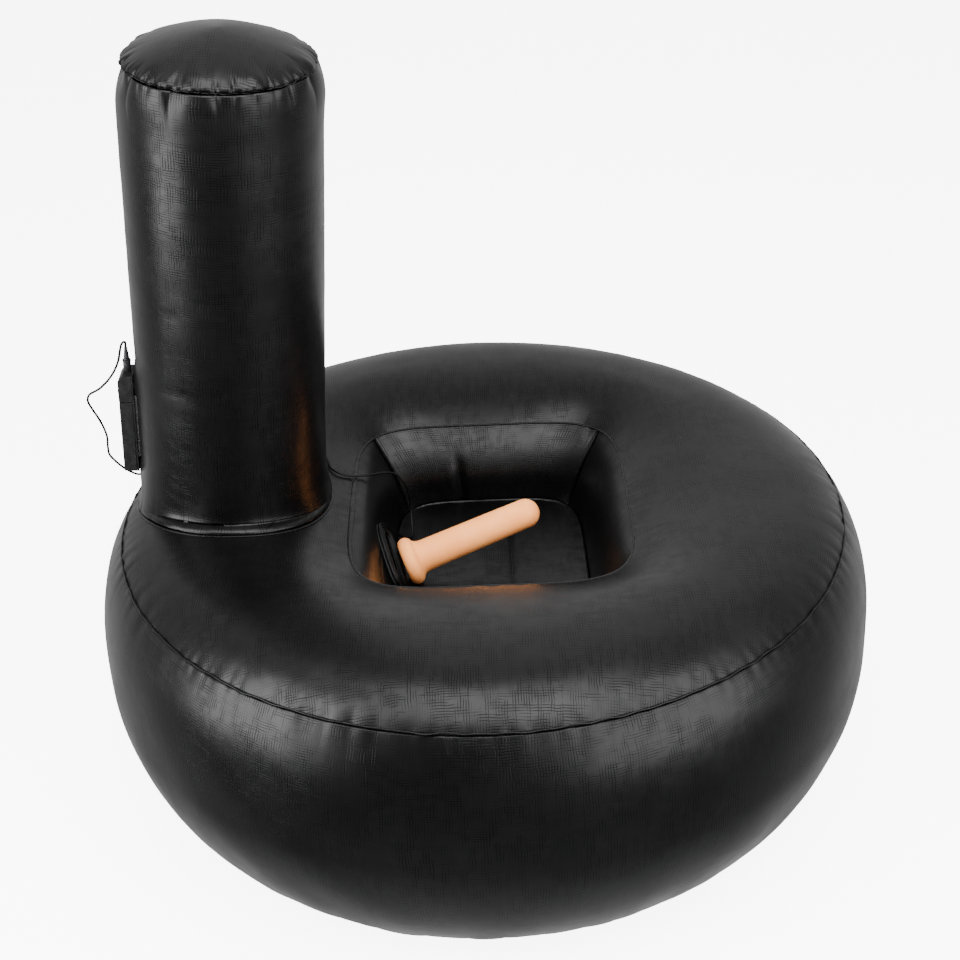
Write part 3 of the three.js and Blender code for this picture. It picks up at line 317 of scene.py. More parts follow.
def gathers(angle, distance, marks, depth, reach, sharpness=0.7, level=0.62, fall=1.0):
    """Folds that run from a seam: pillows between creases, deepest at the seam and fading with the distance
    from it to a power, further for a wide span than for a narrow one, over a dip that fades the same way."""
    rise, width, strength = pillow(angle, marks, sharpness)
    pillows = rise * strength * np.sqrt(width) * np.exp(-(distance / (reach * width)) ** fall)
    return depth * (pillows - level * np.exp(-(distance / reach) ** fall))


def ripples(u, v, seed, count=7, low=4.0, high=14.0):
    """A gentle unevenness between -1 and 1: a sum of sines whose directions, lengths and phases come from a
    seed."""
    rng = np.random.default_rng(seed)
    total = np.zeros(np.broadcast(u, v).shape)
    for _ in range(count):
        way, pitch, phase = rng.random() * TURN, low + (high - low) * rng.random(), rng.random() * TURN
        total += np.sin(pitch * TURN * (u * math.cos(way) + v * math.sin(way)) + phase)
    return total / count


def bump(x, middle, width, power=2):
    """A bell of height one, flatter on top for a higher power."""
    return np.exp(-((x - middle) / width) ** power)


def faded(distance, reach=0.03):
    """Nought at a seam, rising evenly to one at a reach from it."""
    return np.clip(distance / reach, 0, 1)


# Materials
def finish(name, colour, roughness, metallic=0.0, **sockets):
    """A material whose plain values are set on its shader's own sockets."""
    material = bpy.data.materials.new(name)
    material.use_nodes = True
    tree = material.node_tree
    shader = tree.nodes["Principled BSDF"]
    shader.inputs["Base Color"].default_value = (*colour, 1.0)
    shader.inputs["Roughness"].default_value = roughness
    shader.inputs["Metallic"].default_value = metallic
    for socket, value in sockets.items():
        shader.inputs[socket.replace("_", " ")].default_value = value
    return material, tree, shader


def node(tree, kind, **values):
    """A new shader node with its named sockets and settings."""
    made = tree.nodes.new(kind)
    for key, value in values.items():
        if key in made.inputs:
            made.inputs[key].default_value = value
        else:
            setattr(made, key, value)
    return made


def noise(tree, source, scale, stretch=(1, 1, 1), detail=2.0, roughness=0.5):
    """Noise over a coordinate, stretched by a Mapping node."""
    place = node(tree, "ShaderNodeMapping")
    place.inputs["Scale"].default_value = [scale * s for s in stretch]
    cloud = node(tree, "ShaderNodeTexNoise", Scale=1.0, Detail=detail, Roughness=roughness)
    tree.links.new(source, place.inputs["Vector"])
    tree.links.new(place.outputs["Vector"], cloud.inputs["Vector"])
    return cloud.outputs["Fac"]


def remap(tree, source, low, high, to_low=0.0, to_high=1.0):
    """A smooth step of the source from one range to another."""
    made = node(tree, "ShaderNodeMapRange", interpolation_type="SMOOTHSTEP")
    for index, value in enumerate([low, high, to_low, to_high]):
        made.inputs[index + 1].default_value = value
    tree.links.new(source, made.inputs["Value"])
    return made.outputs["Result"]


def combine(tree, operation, first, second):
    """A sum, product or the like of two values or sockets."""
    made = node(tree, "ShaderNodeMath", operation=operation)
    for socket, value in zip(made.inputs, [first, second]):
        if isinstance(value, (int, float)):
            socket.default_value = value
        else:
            tree.links.new(value, socket)
    return made.outputs["Value"]


def shade(tree, factor, first, second):
    """A colour between two, by a factor."""
    made = node(tree, "ShaderNodeMix", data_type="RGBA")
    made.inputs[6].default_value = (*first, 1.0)
    made.inputs[7].default_value = (*second, 1.0)
    tree.links.new(factor, made.inputs[0])
    return made.outputs[2]


def relief(tree, shader, height, distance):
    """Bumps on a shader, a distance high where the height is one."""
    made = node(tree, "ShaderNodeBump", Distance=distance, Strength=1.0)
    tree.links.new(height, made.inputs["Height"])
    tree.links.new(made.outputs["Normal"], shader.inputs["Normal"])


def threads(tree, source, way, pitch):
    """Thin parallel lines square to one direction of the film, a pitch apart, that wander a little."""
    lines = node(tree, "ShaderNodeTexWave", wave_type="BANDS", bands_direction=way, Scale=0.314 / pitch,
                 Distortion=3.4, Detail=1.0)
    lines.inputs["Detail Scale"].default_value = 0.6
    tree.links.new(source, lines.inputs["Vector"])
    return remap(tree, lines.outputs["Fac"], 0.62, 0.95)


def film_finish(name):
    """Black vinyl film with an embossed linen: two sets of broken strokes, along and across the film, that
    fade in and out in patches. A stroke is a shallow groove, and its specular tint and base colour are
    painted darker than the film beside it, as painted shade in the groove."""
    gloss, groove = 0.32, 0.00008
    material, tree, shader = finish(name, (0.0012, 0.0012, 0.0013), gloss, Specular_IOR_Level=0.38)
    source = node(tree, "ShaderNodeUVMap", uv_map="film").outputs["UV"]
    down, side = [combine(tree, "MULTIPLY", threads(tree, source, way, pitch),
                          remap(tree, noise(tree, source, 1.0, stretch, detail=1.0), 0.40, 0.58))
                  for way, pitch, stretch in [("X", 0.0030, (110, 34, 1)), ("Y", 0.0027, (34, 110, 1))]]
    hatch = combine(tree, "MAXIMUM", down, side)
    patches = remap(tree, noise(tree, source, 22.0, detail=2.0), 0.34, 0.56, 0.35, 1.0)
    strokes = combine(tree, "MULTIPLY", hatch, patches)
    relief(tree, shader, combine(tree, "SUBTRACT", 1.0, strokes), groove)
    # Painted shade in the grooves: the specular tint is darker along the strokes, so highlights dim there.
    tree.links.new(shade(tree, strokes, (1.0, 1.0, 1.0), (0.42, 0.42, 0.43)), shader.inputs["Specular Tint"])
    smears = noise(tree, source, 9.0, detail=3.0, roughness=0.6)
    tree.links.new(remap(tree, smears, 0.3, 0.75, gloss - 0.04, gloss + 0.07), shader.inputs["Roughness"])
    # Painted shade in the grooves: the base colour is darker along the strokes.
    tree.links.new(shade(tree, strokes, (0.0014, 0.0014, 0.0015), (0.0008, 0.0008, 0.0009)),
                   shader.inputs["Base Color"])
    return material


def weld_finish():
    """Pressed weld: smooth and glossy black, with the fine unevenness of the melted edge."""
    material, tree, shader = finish("weld_gloss", (0.004, 0.004, 0.0042), 0.3, Specular_IOR_Level=0.3)
    source = node(tree, "ShaderNodeTexCoord").outputs["Object"]
    relief(tree, shader, noise(tree, source, 300.0, detail=2.0), 0.0003)
    tree.links.new(remap(tree, noise(tree, source, 90.0), 0.3, 0.7, 0.22, 0.42), shader.inputs["Roughness"])
    return material


def moulded_finish(name, colour, roughness, grain, depth, spread=0.06, metallic=0.0, **sockets):
    """A moulded or plated surface: a fine grain, and roughness that drifts by a little."""
    material, tree, shader = finish(name, colour, roughness, metallic, **sockets)
    source = node(tree, "ShaderNodeTexCoord").outputs["Object"]
    relief(tree, shader, noise(tree, source, grain, detail=3.0), depth)
    drift = noise(tree, source, grain / 18, detail=3.0)
    tree.links.new(remap(tree, drift, 0.3, 0.7, roughness - spread, roughness + spread),
                   shader.inputs["Roughness"])
    lighter = tuple(min(1.0, value * 1.25 + 0.002) for value in colour)
    tree.links.new(shade(tree, remap(tree, drift, 0.35, 0.75), colour, lighter), shader.inputs["Base Color"])
    return material


black_film = film_finish("black_film")
valve_film = moulded_finish("valve_film", (0.013, 0.013, 0.0135), 0.34, 900.0, 0.00008)
weld_gloss = weld_finish()
case_plastic = moulded_finish("case_plastic", (0.005, 0.005, 0.0053), 0.42, 2600.0, 0.00006,
                              Specular_IOR_Level=0.2)
button_plastic = moulded_finish("button_plastic", (0.025, 0.025, 0.027), 0.5, 2600.0, 0.00006)
clear_plastic = moulded_finish("clear_plastic", (0.60, 0.70, 0.75), 0.15, 900.0, 0.00002)
cell_steel = moulded_finish("cell_sleeve", (0.45, 0.46, 0.48), 0.35, 700.0, 0.00004, metallic=0.7)
contact_metal = moulded_finish("contact_metal", (0.60, 0.60, 0.61), 0.28, 900.0, 0.00004, metallic=1.0)
board_green = moulded_finish("board_green", (0.02, 0.10, 0.04), 0.45, 1500.0, 0.00006)
screw_steel = moulded_finish("screw_steel", (0.50, 0.50, 0.52), 0.3, 900.0, 0.00004, metallic=1.0)
plated_pin = moulded_finish("plated_pin", (0.70, 0.70, 0.72), 0.14, 900.0, 0.00001, metallic=1.0)
plug_rubber = moulded_finish("plug_rubber", (0.008, 0.008, 0.009), 0.33, 1800.0, 0.00005)
lead_sheath = moulded_finish("lead_sheath", (0.002, 0.002, 0.0022), 0.36, 1500.0, 0.00003,
                             Specular_IOR_Level=0.22)
capsule_white = moulded_finish("capsule_white", (0.80, 0.80, 0.81), 0.3, 900.0, 0.00002)
motor_steel = moulded_finish("motor_steel", (0.40, 0.40, 0.42), 0.32, 700.0, 0.00004, metallic=1.0)


def patch_finish():
    """Hook and loop tape: a deep fine nap with sheen."""
    material, tree, shader = finish("patch_fabric", (0.014, 0.014, 0.015), 0.92, Sheen_Weight=0.4)
    source = node(tree, "ShaderNodeTexCoord").outputs["Object"]
    nap = noise(tree, source, 1700.0, detail=2.0)
    relief(tree, shader, nap, 0.0004)
    colours = shade(tree, nap, (0.010, 0.010, 0.011), (0.022, 0.022, 0.024))
    tree.links.new(colours, shader.inputs["Base Color"])
    return material


def silicone_finish():
    """Soft satin silicone in a warm peach: light goes a little way in, and the colour clouds faintly."""
    material, tree, shader = finish("silicone", (0.96, 0.35, 0.10), 0.5, Subsurface_Weight=0.15,
                                    Specular_IOR_Level=0.15, Subsurface_Scale=0.006)
    shader.inputs["Subsurface Radius"].default_value = (1.0, 0.45, 0.25)
    source = node(tree, "ShaderNodeTexCoord").outputs["Object"]
    clouds = noise(tree, source, 34.0, detail=3.0)
    tree.links.new(shade(tree, remap(tree, clouds, 0.3, 0.7), (0.98, 0.38, 0.11), (0.94, 0.33, 0.09)),
                   shader.inputs["Base Color"])
    relief(tree, shader, noise(tree, source, 1400.0, detail=2.0), 0.00006)
    tree.links.new(remap(tree, noise(tree, source, 60.0), 0.3, 0.7, 0.36, 0.5), shader.inputs["Roughness"])
    return material


patch_fabric = patch_finish()
silicone = silicone_finish()


# Places in the column's and the box's own directions
def on_column(angle, along, radius):
    """Points at an angle, a length along the leaning axis and a distance from it."""
    angle, along, radius = np.broadcast_arrays(angle, along, radius)
    local = np.stack([radius * np.cos(angle), radius * np.sin(angle), along], -1)
    return local @ COLUMN_TURN.T + COLUMN_FOOT


def flare(along):
    """How far the column widens at its foot: a falling exponential."""
    return COLUMN_FLARE * np.exp(-np.maximum(along, 0) / FLARE_LENGTH)


def column_radius(along):
    """A tube that flares at its foot and draws in by a square at its shoulder."""
    shoulder = np.maximum(0, (along - (COLUMN_LENGTH - COLUMN_SHOULDER)) / COLUMN_SHOULDER)
    return COLUMN_RADIUS + flare(along) - (COLUMN_RADIUS - COLUMN_TOP_RADIUS) * shoulder ** 2


BOX_RADIUS = float(column_radius(np.array(BOX_ALONG + PATCH_LOW)))
box_origin = on_column(QUARTER, BOX_ALONG, BOX_RADIUS + FILM / 2)


def in_box(points):
    """Local Z up the box, X across it and Y away from the column."""
    return np.asarray(points, float) @ COLUMN_TURN.T + box_origin


# Lead: one unbroken line from the plug to the massager
MM = 0.001
box_loop_points = [
    (14.8, 388.8, 543.6), (15.6, 392.4, 541.6), (16.6, 395.6, 534), (18.5, 401, 517), (22, 412, 498),
    (26, 428, 481), (30, 442.5, 471), (33, 446, 462), (37, 444, 450), (42, 438, 430), (48, 435, 407),
    (52, 437, 391), (57, 438, 377), (62, 433.5, 365), (66, 428, 355), (70, 421, 346), (77, 413, 337),
]
run_points = [
    (87, 402, 333), (97, 392, 336), (106, 384, 339.8), (118, 370, 345.3), (131, 355, 349.5),
    (142, 338, 352.6), (150, 318, 354.8), (155, 297, 355.5), (156, 276, 355.5), (153, 255, 354.5),
    (146, 236, 352.2),
    (135, 218, 348.3), (122, 203, 343.6), (107, 191, 338.8), (92, 184, 335.2), (79, 179.5, 332.9),
    (73, 169, 329.2), (76, 157, 323.6), (82, 144, 320), (89, 132, 316.5), (102, 117, 311), (110, 105, 303.5),
    (113, 96, 290), (115, 90, 270), (111, 89, 250), (100, 88, 236), (87, 88, 229), (73, 91, 232),
    (58.4, 98.6, 244.5), (43, 107.5, 263),
]
tail_points = [
    (-10, 94.2, 226.9), (10, 95.5, 226.9), (27, 97.6, 226.9), (41, 100, 227.2), (51, 101.2, 228.3),
    (57.5, 99, 230.8), (56, 95.6, 233.2), (47, 93.4, 234.3), (36, 90.7, 234.3),
]
HANK_TURNS = 4
HANK_TAIL = 0.625
HANK_PITCH = 0.0033
HANK_LAYER = 0.0034
HANK_REACH = 0.022
HANK_WIDTH = 0.044
HANK_RISE = math.radians(37.9)
HANK_OFFSET = 0.029
HANK_CLEARANCE = 0.005
HANK_POINTS = 700
LEAD_STEP = 0.0016
LEAD_SIDES = 10


def hank_line(turn):
    """Points of the hank after a number of turns: it winds in by one pitch a turn, climbs to its second
    layer in the half turn where it reverses, and winds out. Round ends join by nearly straight sides."""
    wall_way = unit(np.array([0, WELL_HALF[1] - FLOOR_HALF[1], RIM_HEIGHT - FLOOR_HEIGHT]))
    wall_out = np.array([0, wall_way[2], -wall_way[1]])
    long_way = np.array([math.cos(HANK_RISE), 0, 0]) + wall_way * math.sin(HANK_RISE)
    short_way = np.cross(wall_out, long_way)
    reach = HANK_WIDTH / 2 + HANK_TAIL * HANK_PITCH
    drop = HANK_REACH * abs(long_way[2]) + reach * math.hypot(long_way[2], short_way[2])
    height = FLOOR_HEIGHT + GAP + CORD_RADIUS + drop
    share = (height - FLOOR_HEIGHT) / (RIM_HEIGHT - FLOOR_HEIGHT)
    wall_y = (WELL_MIDDLE[1] + FLOOR_HALF[1] + share * (WELL_HALF[1] - FLOOR_HALF[1])
              - WALL_BULGE * math.sin(math.pi * share))
    middle = np.array([WELL_MIDDLE[0] - HANK_OFFSET, wall_y - HANK_LAYER - HANK_CLEARANCE, height])
    inward = np.where(turn < HANK_TURNS, turn, 2 * HANK_TURNS - turn)
    radius = HANK_WIDTH / 2 - inward * HANK_PITCH
    angle = turn * TURN
    climb = np.clip((turn - HANK_TURNS) * 2, -1, 1)
    along = np.cos(angle) * radius + np.tanh(3 * np.cos(angle)) * HANK_REACH
    return (middle + along[:, None] * long_way - (np.sin(angle) * radius)[:, None] * short_way
            + (climb * HANK_LAYER / 2)[:, None] * wall_out)


def through(points, steps=14):
    """A smooth line through points: a centripetal Catmull-Rom curve, whose knots are spaced by the square
    root of the distance between points."""
    points = np.asarray(points, float)
    first = 2 * points[0] - points[1]
    last = 2 * points[-1] - points[-2]
    p = np.vstack([first, points, last])
    knot = np.concatenate([[0], np.cumsum(np.linalg.norm(np.diff(p, axis=0), axis=1) ** 0.5)])
    line = []
    for k in range(len(points) - 1):
        k0, k1, k2, k3 = knot[k:k + 4]
        t = np.linspace(k1, k2, steps, endpoint=False)[:, None]
        a1 = (k1 - t) / (k1 - k0) * p[k] + (t - k0) / (k1 - k0) * p[k + 1]
        a2 = (k2 - t) / (k2 - k1) * p[k + 1] + (t - k1) / (k2 - k1) * p[k + 2]
        a3 = (k3 - t) / (k3 - k2) * p[k + 2] + (t - k2) / (k3 - k2) * p[k + 3]
        b1 = (k2 - t) / (k2 - k0) * a1 + (t - k0) / (k2 - k0) * a2
        b2 = (k3 - t) / (k3 - k1) * a2 + (t - k1) / (k3 - k1) * a3
        line.append((k2 - t) / (k2 - k1) * b1 + (t - k1) / (k2 - k1) * b2)
    return np.vstack([*line, points[-1:]])


def run_length(line):
    """Length along a line at each of its points."""
    return np.concatenate([[0], np.cumsum(np.linalg.norm(np.diff(line, axis=0), axis=1))])


def evenly(line, step):
    """The line again with points an even step apart."""
    length = run_length(line)
    count = max(2, int(round(length[-1] / step)) + 1)
    places = np.linspace(0, length[-1], count)
    return np.stack([np.interp(places, length, line[:, k]) for k in range(3)], -1)


def carried_frames(line):
    """Two directions across a line at each point, carried along it without twist."""
    way = unit(np.gradient(line, axis=0))
    side = np.zeros_like(way)
    start = np.cross(way[0], [0.0, 0.0, 1.0])
    if np.linalg.norm(start) < 0.1:
        start = np.cross(way[0], [1.0, 0.0, 0.0])
    side[0] = start / np.linalg.norm(start)
    for k in range(1, len(way)):
        moved = side[k - 1] - way[k] * (side[k - 1] @ way[k])
        side[k] = moved / np.linalg.norm(moved)
    return side, np.cross(way, side)


def tube_object(name, line, radius, sides):
    """A round tube: at each point of the line a circle of the given radius, closed by a disc at each end."""
    side, over = carried_frames(line)
    angle = round_angles(sides)
    ring = np.cos(angle)[None, :, None] * side[:, None] + np.sin(angle)[None, :, None] * over[:, None]
    grid = line[:, None] + ring * radius
    grid = np.concatenate([np.repeat(line[:1, None], sides, 1), grid, np.repeat(line[-1:, None], sides, 1)])
    length = np.concatenate([[0], run_length(line)])
    length = np.append(length, length[-1])
    around = np.linspace(0, TURN * radius, sides + 1)
    return grid_object(name, grid, paired(around, length[:, None]), pole=0)


def make_lead():
    """The lead as one tube: plug to hank, the hank, and its tail to the massager's gland."""
    plug_top = PLUG_LOW + PLUG_LENGTH + GAP + RELIEF_LENGTH
    start = in_box([0, PLUG_Y, plug_top + GAP])
    turns = 2 * HANK_TURNS + HANK_TAIL
    hank = hank_line(np.linspace(0, turns, HANK_POINTS))
    way_in = unit(hank[1] - hank[0])
    way_out = unit(hank[-1] - hank[-2])
    straight = 2 * CORD_RADIUS
    before = through([start, start + AXIS * straight, *(np.array(box_loop_points) * MM),
                      *(np.array(run_points) * MM), hank[0] - way_in * (GAP + straight),
                      hank[0] - way_in * GAP])
    gland_end = HINGE + HINGE_WAY * (GLAND_START + GLAND_LENGTH + GAP)
    after = through([hank[-1] + way_out * GAP, hank[-1] + way_out * (GAP + straight),
                     *(np.array(tail_points) * MM), gland_end + HINGE_WAY * straight, gland_end])
    line = evenly(np.vstack([before, hank, after]), LEAD_STEP)
    length = float(np.linalg.norm(np.diff(line, axis=0), axis=1).sum())
    lead = tube_object("lead", line, SHEATH_RADIUS, LEAD_SIDES)
    dressed(lead, SEAT, "lead_sheath", lead_sheath, "lead_box_loop", "lead_run", "lead_hank", "lead_tail")
    return lead, line, length, gland_end


lead, lead_line, lead_length, gland_end = make_lead()


# Ring panels
def rim_radius(angle, half=WELL_HALF):
    """Distance from the origin to the well's rounded-square outline, by halving the span that holds it."""
    low, high = np.zeros_like(angle), np.full_like(angle, 2 * half.max())
    for _ in range(44):
        middle = (low + high) / 2
        x = np.abs((middle * np.cos(angle) - WELL_MIDDLE[0]) / half[0]) ** WELL_SQUARENESS
        y = np.abs((middle * np.sin(angle) - WELL_MIDDLE[1]) / half[1]) ** WELL_SQUARENESS
        inside = x + y < 1
        low, high = np.where(inside, middle, low), np.where(inside, high, middle)
    return low


def outer_height(radius):
    """Height of the ring outside its crest: a quarter of a superellipse."""
    share = np.clip((radius - CREST_RADIUS) / (RING_RADIUS - CREST_RADIUS), 0, 1)
    return BULGE_HEIGHT + (RING_HEIGHT - BULGE_HEIGHT) * (1 - share ** UPPER_FULLNESS) ** (1 / UPPER_FULLNESS)


def top_height(x, y):
    """Height of the ring's top anywhere: the superellipse outside the crest, a parabola down to the rim."""
    radius = np.hypot(x, y)
    rim = rim_radius(np.arctan2(y, x))
    share = np.clip((radius - rim) / (CREST_RADIUS - rim), 0, 1)
    inner = RING_HEIGHT - (RING_HEIGHT - RIM_HEIGHT) * (1 - share) ** 2
    return np.where(radius >= CREST_RADIUS, outer_height(radius), inner)


ring_angle = round_angles(720)
seam_marks = creases(150, seed=11)
rim_marks = creases(70, seed=12)
foot_marks = creases(84, seed=13)
TOP_RIPPLE = 0.0006
WALL_RIPPLE = 0.0007
WALL_INSET = 0.0004


def wrapped(values):
    """The values with their first column again after the last."""
    return np.concatenate([values, values[:, :1]], 1)


def polar_uv(reach, angle):
    """The film's own flat coordinates on a round panel: the length along the film, laid out by angle."""
    return np.stack([wrapped(reach * np.cos(angle)), wrapped(reach * np.sin(angle))], -1)


def ring_top():
    """Rim to crest by a parabola, crest to outer seam by a superellipse, with small gathers at both welds."""
    crowding = 1.35
    rim = rim_radius(ring_angle)
    inner = (np.linspace(0, 1, 36) ** crowding)[:, None]
    radius_in = rim + inner * (CREST_RADIUS - rim)
    height_in = RING_HEIGHT - (RING_HEIGHT - RIM_HEIGHT) * (1 - inner) ** 2
    height_in = np.broadcast_to(height_in, radius_in.shape)
    outer = (1 - (1 - np.linspace(0, 1, 31)[1:]) ** crowding)[:, None]
    radius_out = np.repeat(CREST_RADIUS + outer * (SEAM_RADIUS - CREST_RADIUS), len(ring_angle), 1)
    radius = np.vstack([radius_in, radius_out])
    grid = polar(radius, ring_angle, np.vstack([height_in, outer_height(radius_out)]))
    length = path_length(grid)
    from_seam = length[-1] - length
    angle = np.broadcast_to(ring_angle, radius.shape)
    x, y = grid[..., 0], grid[..., 1]
    rise = (gathers(angle, from_seam, seam_marks, depth=0.0011, reach=0.010)
            + gathers(angle, length, rim_marks, depth=0.0003, reach=0.010)
            + TOP_RIPPLE * ripples(x, y, seed=21) * faded(length) * faded(from_seam))
    grid = lifted(grid, rise, side=-1.0)
    return film_panel("seat_top", grid, polar_uv(rim + length, ring_angle), "top_panel")


def wall_profile():
    """Radius and height from the outer seam over the bulge and under to the base weld, at fine even steps."""
    above = RING_HEIGHT - BULGE_HEIGHT
    rise = np.linspace((outer_height(np.array(SEAM_RADIUS)) - BULGE_HEIGHT) / above, 0, 200)
    outwards = (1 - rise ** UPPER_FULLNESS) ** (1 / UPPER_FULLNESS)
    upper = np.stack([CREST_RADIUS + (RING_RADIUS - CREST_RADIUS) * outwards,
                      BULGE_HEIGHT + rise * above], -1)
    turn = np.linspace(0, QUARTER, 400)[1:]
    foot = FILM + GAP + FILM
    power = 2 / LOWER_FULLNESS
    lower = np.stack([BASE_RADIUS + (RING_RADIUS - BASE_RADIUS) * np.cos(turn) ** power,
                      BULGE_HEIGHT - (BULGE_HEIGHT - foot) * np.sin(turn) ** power], -1)
    return np.vstack([upper, lower])


def ring_wall():
    """The bulging outer wall, gathered at the outer seam and more deeply at the base weld."""
    profile = wall_profile()
    run = run_length(profile)
    place = crowded(60, 0.5) * run[-1]
    radius, height = [np.interp(place, run, profile[:, k])[:, None] for k in range(2)]
    grid = polar(radius, ring_angle, height)
    length = path_length(grid)
    to_foot = length[-1] - length
    angle = np.broadcast_to(ring_angle, grid.shape[:2])
    rise = (gathers(angle, length, seam_marks, depth=0.0010, reach=0.010)
            + gathers(angle, to_foot, foot_marks, depth=0.0030, reach=0.034) * faded(to_foot, 0.010)
            + WALL_RIPPLE * ripples(angle * RING_RADIUS, length, seed=22) * faded(length) - WALL_INSET)
    grid = lifted(grid, rise, side=-1.0)
    uv = paired(np.append(ring_angle, TURN) * RING_RADIUS, -wrapped(length))
    return film_panel("seat_wall", grid, uv, "outer_wall")


BASE_HEM = 0.006


def bottom_sheet():
    """A flat disc under the ring, as a grid of circles out to the middle of the base weld's hem."""
    radius = (np.linspace(0, 1, 26) * (BASE_RADIUS + BASE_HEM / 2))[:, None]
    grid = polar(radius, ring_angle[::4], 0.0)
    film_panel("seat_bottom", grid, wrapped(grid)[..., :2], "bottom_panel", pole=0)


def well_point(angle, half, height):
    """A point on a rounded square: the direction scaled by the superellipse's reach."""
    spread = np.abs(np.cos(angle)) ** WELL_SQUARENESS + np.abs(np.sin(angle)) ** WELL_SQUARENESS
    reach = spread ** (-1 / WELL_SQUARENESS)
    x = WELL_MIDDLE[0] + half[..., 0] * reach * np.cos(angle)
    y = WELL_MIDDLE[1] + half[..., 1] * reach * np.sin(angle)
    return np.stack(np.broadcast_arrays(x, y, height), -1)


# Air in each wall: its quarter of the well, the depth of its swell and of a crown near the rim, how far down
# the swell sits and how full it is
WALL_FORMS = {
    "left": {"quarter": 0, "swell": 0.0095, "crown": 0.0, "lag": 1.3, "fullness": 1.0},
    "rear": {"quarter": 1, "swell": 0.0012, "crown": 0.008, "lag": 1.0, "fullness": 0.75},
    "right": {"quarter": 2, "swell": 0.007, "crown": 0.0, "lag": 1.0, "fullness": 0.75},
    "front": {"quarter": 3, "swell": 0.002, "crown": 0.003, "lag": 1.0, "fullness": 0.75},
}
CROWN_SCALE = 14.9
CORNER_PINCH = 0.0070
WALL_REACH = 0.18
LEFT_CREASE = 0.006
REAR_CREASE = 0.0016


def well_wall(side, quarter, swell, crown, lag, fullness):
    """One inflated wall: hemmed at the rim, swollen by a sine of its height and by a crown v(1 - v)^5, and
    pinched into a crease at both corners."""
    half_span = math.pi / 4 - GAP / WELL_HALF[0]
    u = np.linspace(-1, 1, 73)[None, :]
    v = np.linspace(0, 1, 49)[:, None]
    angle = quarter * QUARTER + half_span * u
    inset = WALL_BULGE * np.sin(np.pi * v)
    half = WELL_HALF + v[..., None] * (FLOOR_HALF - WELL_HALF) - inset[..., None]
    top = RIM_HEIGHT - (FILM + GAP) / 2
    height = top + v * (FLOOR_HEIGHT - FILM - top)
    grid = well_point(angle, half, height)
    length = path_length(grid)
    bend = swell * np.sin(np.pi * v ** lag) ** fullness + crown * CROWN_SCALE * v * (1 - v) ** 5
    pinch = CORNER_PINCH * np.abs(u) ** 9 * np.sin(np.pi * v) ** 0.5
    around = np.broadcast_to(angle, pinch.shape)
    low_marks = creases(60, seed=31 + quarter)
    rise = (bend * (1 - np.abs(u) ** 5) - pinch
            + gathers(around, length, rim_marks, depth=0.0004, reach=0.008)
            + gathers(around, length[-1] - length, low_marks, depth=0.0006, reach=0.008)
            + TOP_RIPPLE * ripples(around * WALL_REACH, length, seed=40 + quarter))
    if side == "left":
        rise = rise - LEFT_CREASE * bump(u, 0.35, 0.06) * bump(v, 0.72, 0.26)
    if side == "rear":
        rise = rise - REAR_CREASE * bump(v - 0.10 * u, 0.42, 0.018) * bump(u, 0.45, 0.5)
    grid = lifted(grid, rise, wrap=False)
    film_panel(f"well_wall_{side}_film", grid, paired(angle * WALL_REACH, -length), f"well_wall_{side}",
               wrap=False, flip=True)


GROOVE_HALF = 0.125
GROOVE_DEPTH = 0.0028
WELD_DEPTH = 0.0009
EDGE_TURN = 0.0016
EDGE_WAVE = 0.0004


def well_floor():
    """The floor film, flat, drawn down in a groove where the tie web is welded, its edge turned up."""
    share = np.concatenate([np.linspace(0, 1, 60), [1.0]])[:, None]
    angle = round_angles(240)
    half = (FLOOR_HALF - 2 * (FILM + GAP)) * np.stack([share, share], -1)
    height = np.full(share.shape, FLOOR_HEIGHT)
    height[-1] += EDGE_TURN
    grid = well_point(angle, half, height)
    ends = faded(GROOVE_HALF - np.abs(grid[..., 0] - WELL_MIDDLE[0]), 0.02)
    away = np.abs(grid[..., 1] - WEB_Y)
    dip = GROOVE_DEPTH * np.exp(-away / 0.007) + WELD_DEPTH * np.exp(-away / 0.0016)
    waves = 1 + np.sin(angle * 41 + 2 * np.sin(angle * 7))
    edge = EDGE_WAVE * (1 - faded(1 - share, 0.12)) * waves
    grid[..., 2] -= dip * ends + edge * (share < 1)
    film_panel("well_floor_film", grid, wrapped(grid)[..., :2], "well_floor", pole=0)


def band(name, line, out, over, width, thickness, seed, ragged, ripple, lip, replaced=()):
    """A welded hem: a rounded strip carried along a closed line from a small lip inside it, standing out by
    its width, whose edge is ragged and ripples up and down by shares of its width, as sums of sines."""
    rng = np.random.default_rng(seed)
    count = len(line)
    turn = round_angles(count)
    waves, curl = [sum(np.sin(k * turn + rng.random() * TURN) * rng.random()
                       for k in rng.integers(18, fastest, 14)) / 4 for fastest in (150, 110)]
    reach = (width * (1 + ragged * waves))[:, None]
    across_shares = np.array([0, 0.5, 0.9, 1.0, 1.0, 0.9, 0.5, 0])
    through_shares = np.array([0.5, 0.5, 0.5, 0.25, -0.25, -0.5, -0.5, -0.5])
    rise = through_shares * thickness + (ripple * width * curl)[:, None] * across_shares ** 2
    grid = (line[:, None] + out[:, None] * (reach * across_shares + lip)[..., None]
            + over[:, None] * rise[..., None])
    grid = np.swapaxes(grid, 0, 1)
    grid = np.concatenate([grid, grid[:1]])
    length = path_length(grid)
    run = np.linspace(0, 1, count + 1) * run_length(line)[-1]
    obj = grid_object(name, grid, paired(run, wrapped(length)), flip=True, pole=0)
    return dressed(obj, SEAT, "pvc_film", weld_gloss, *replaced)


WELD_POINTS = 900
OUTER_WELD_POINTS = 1400


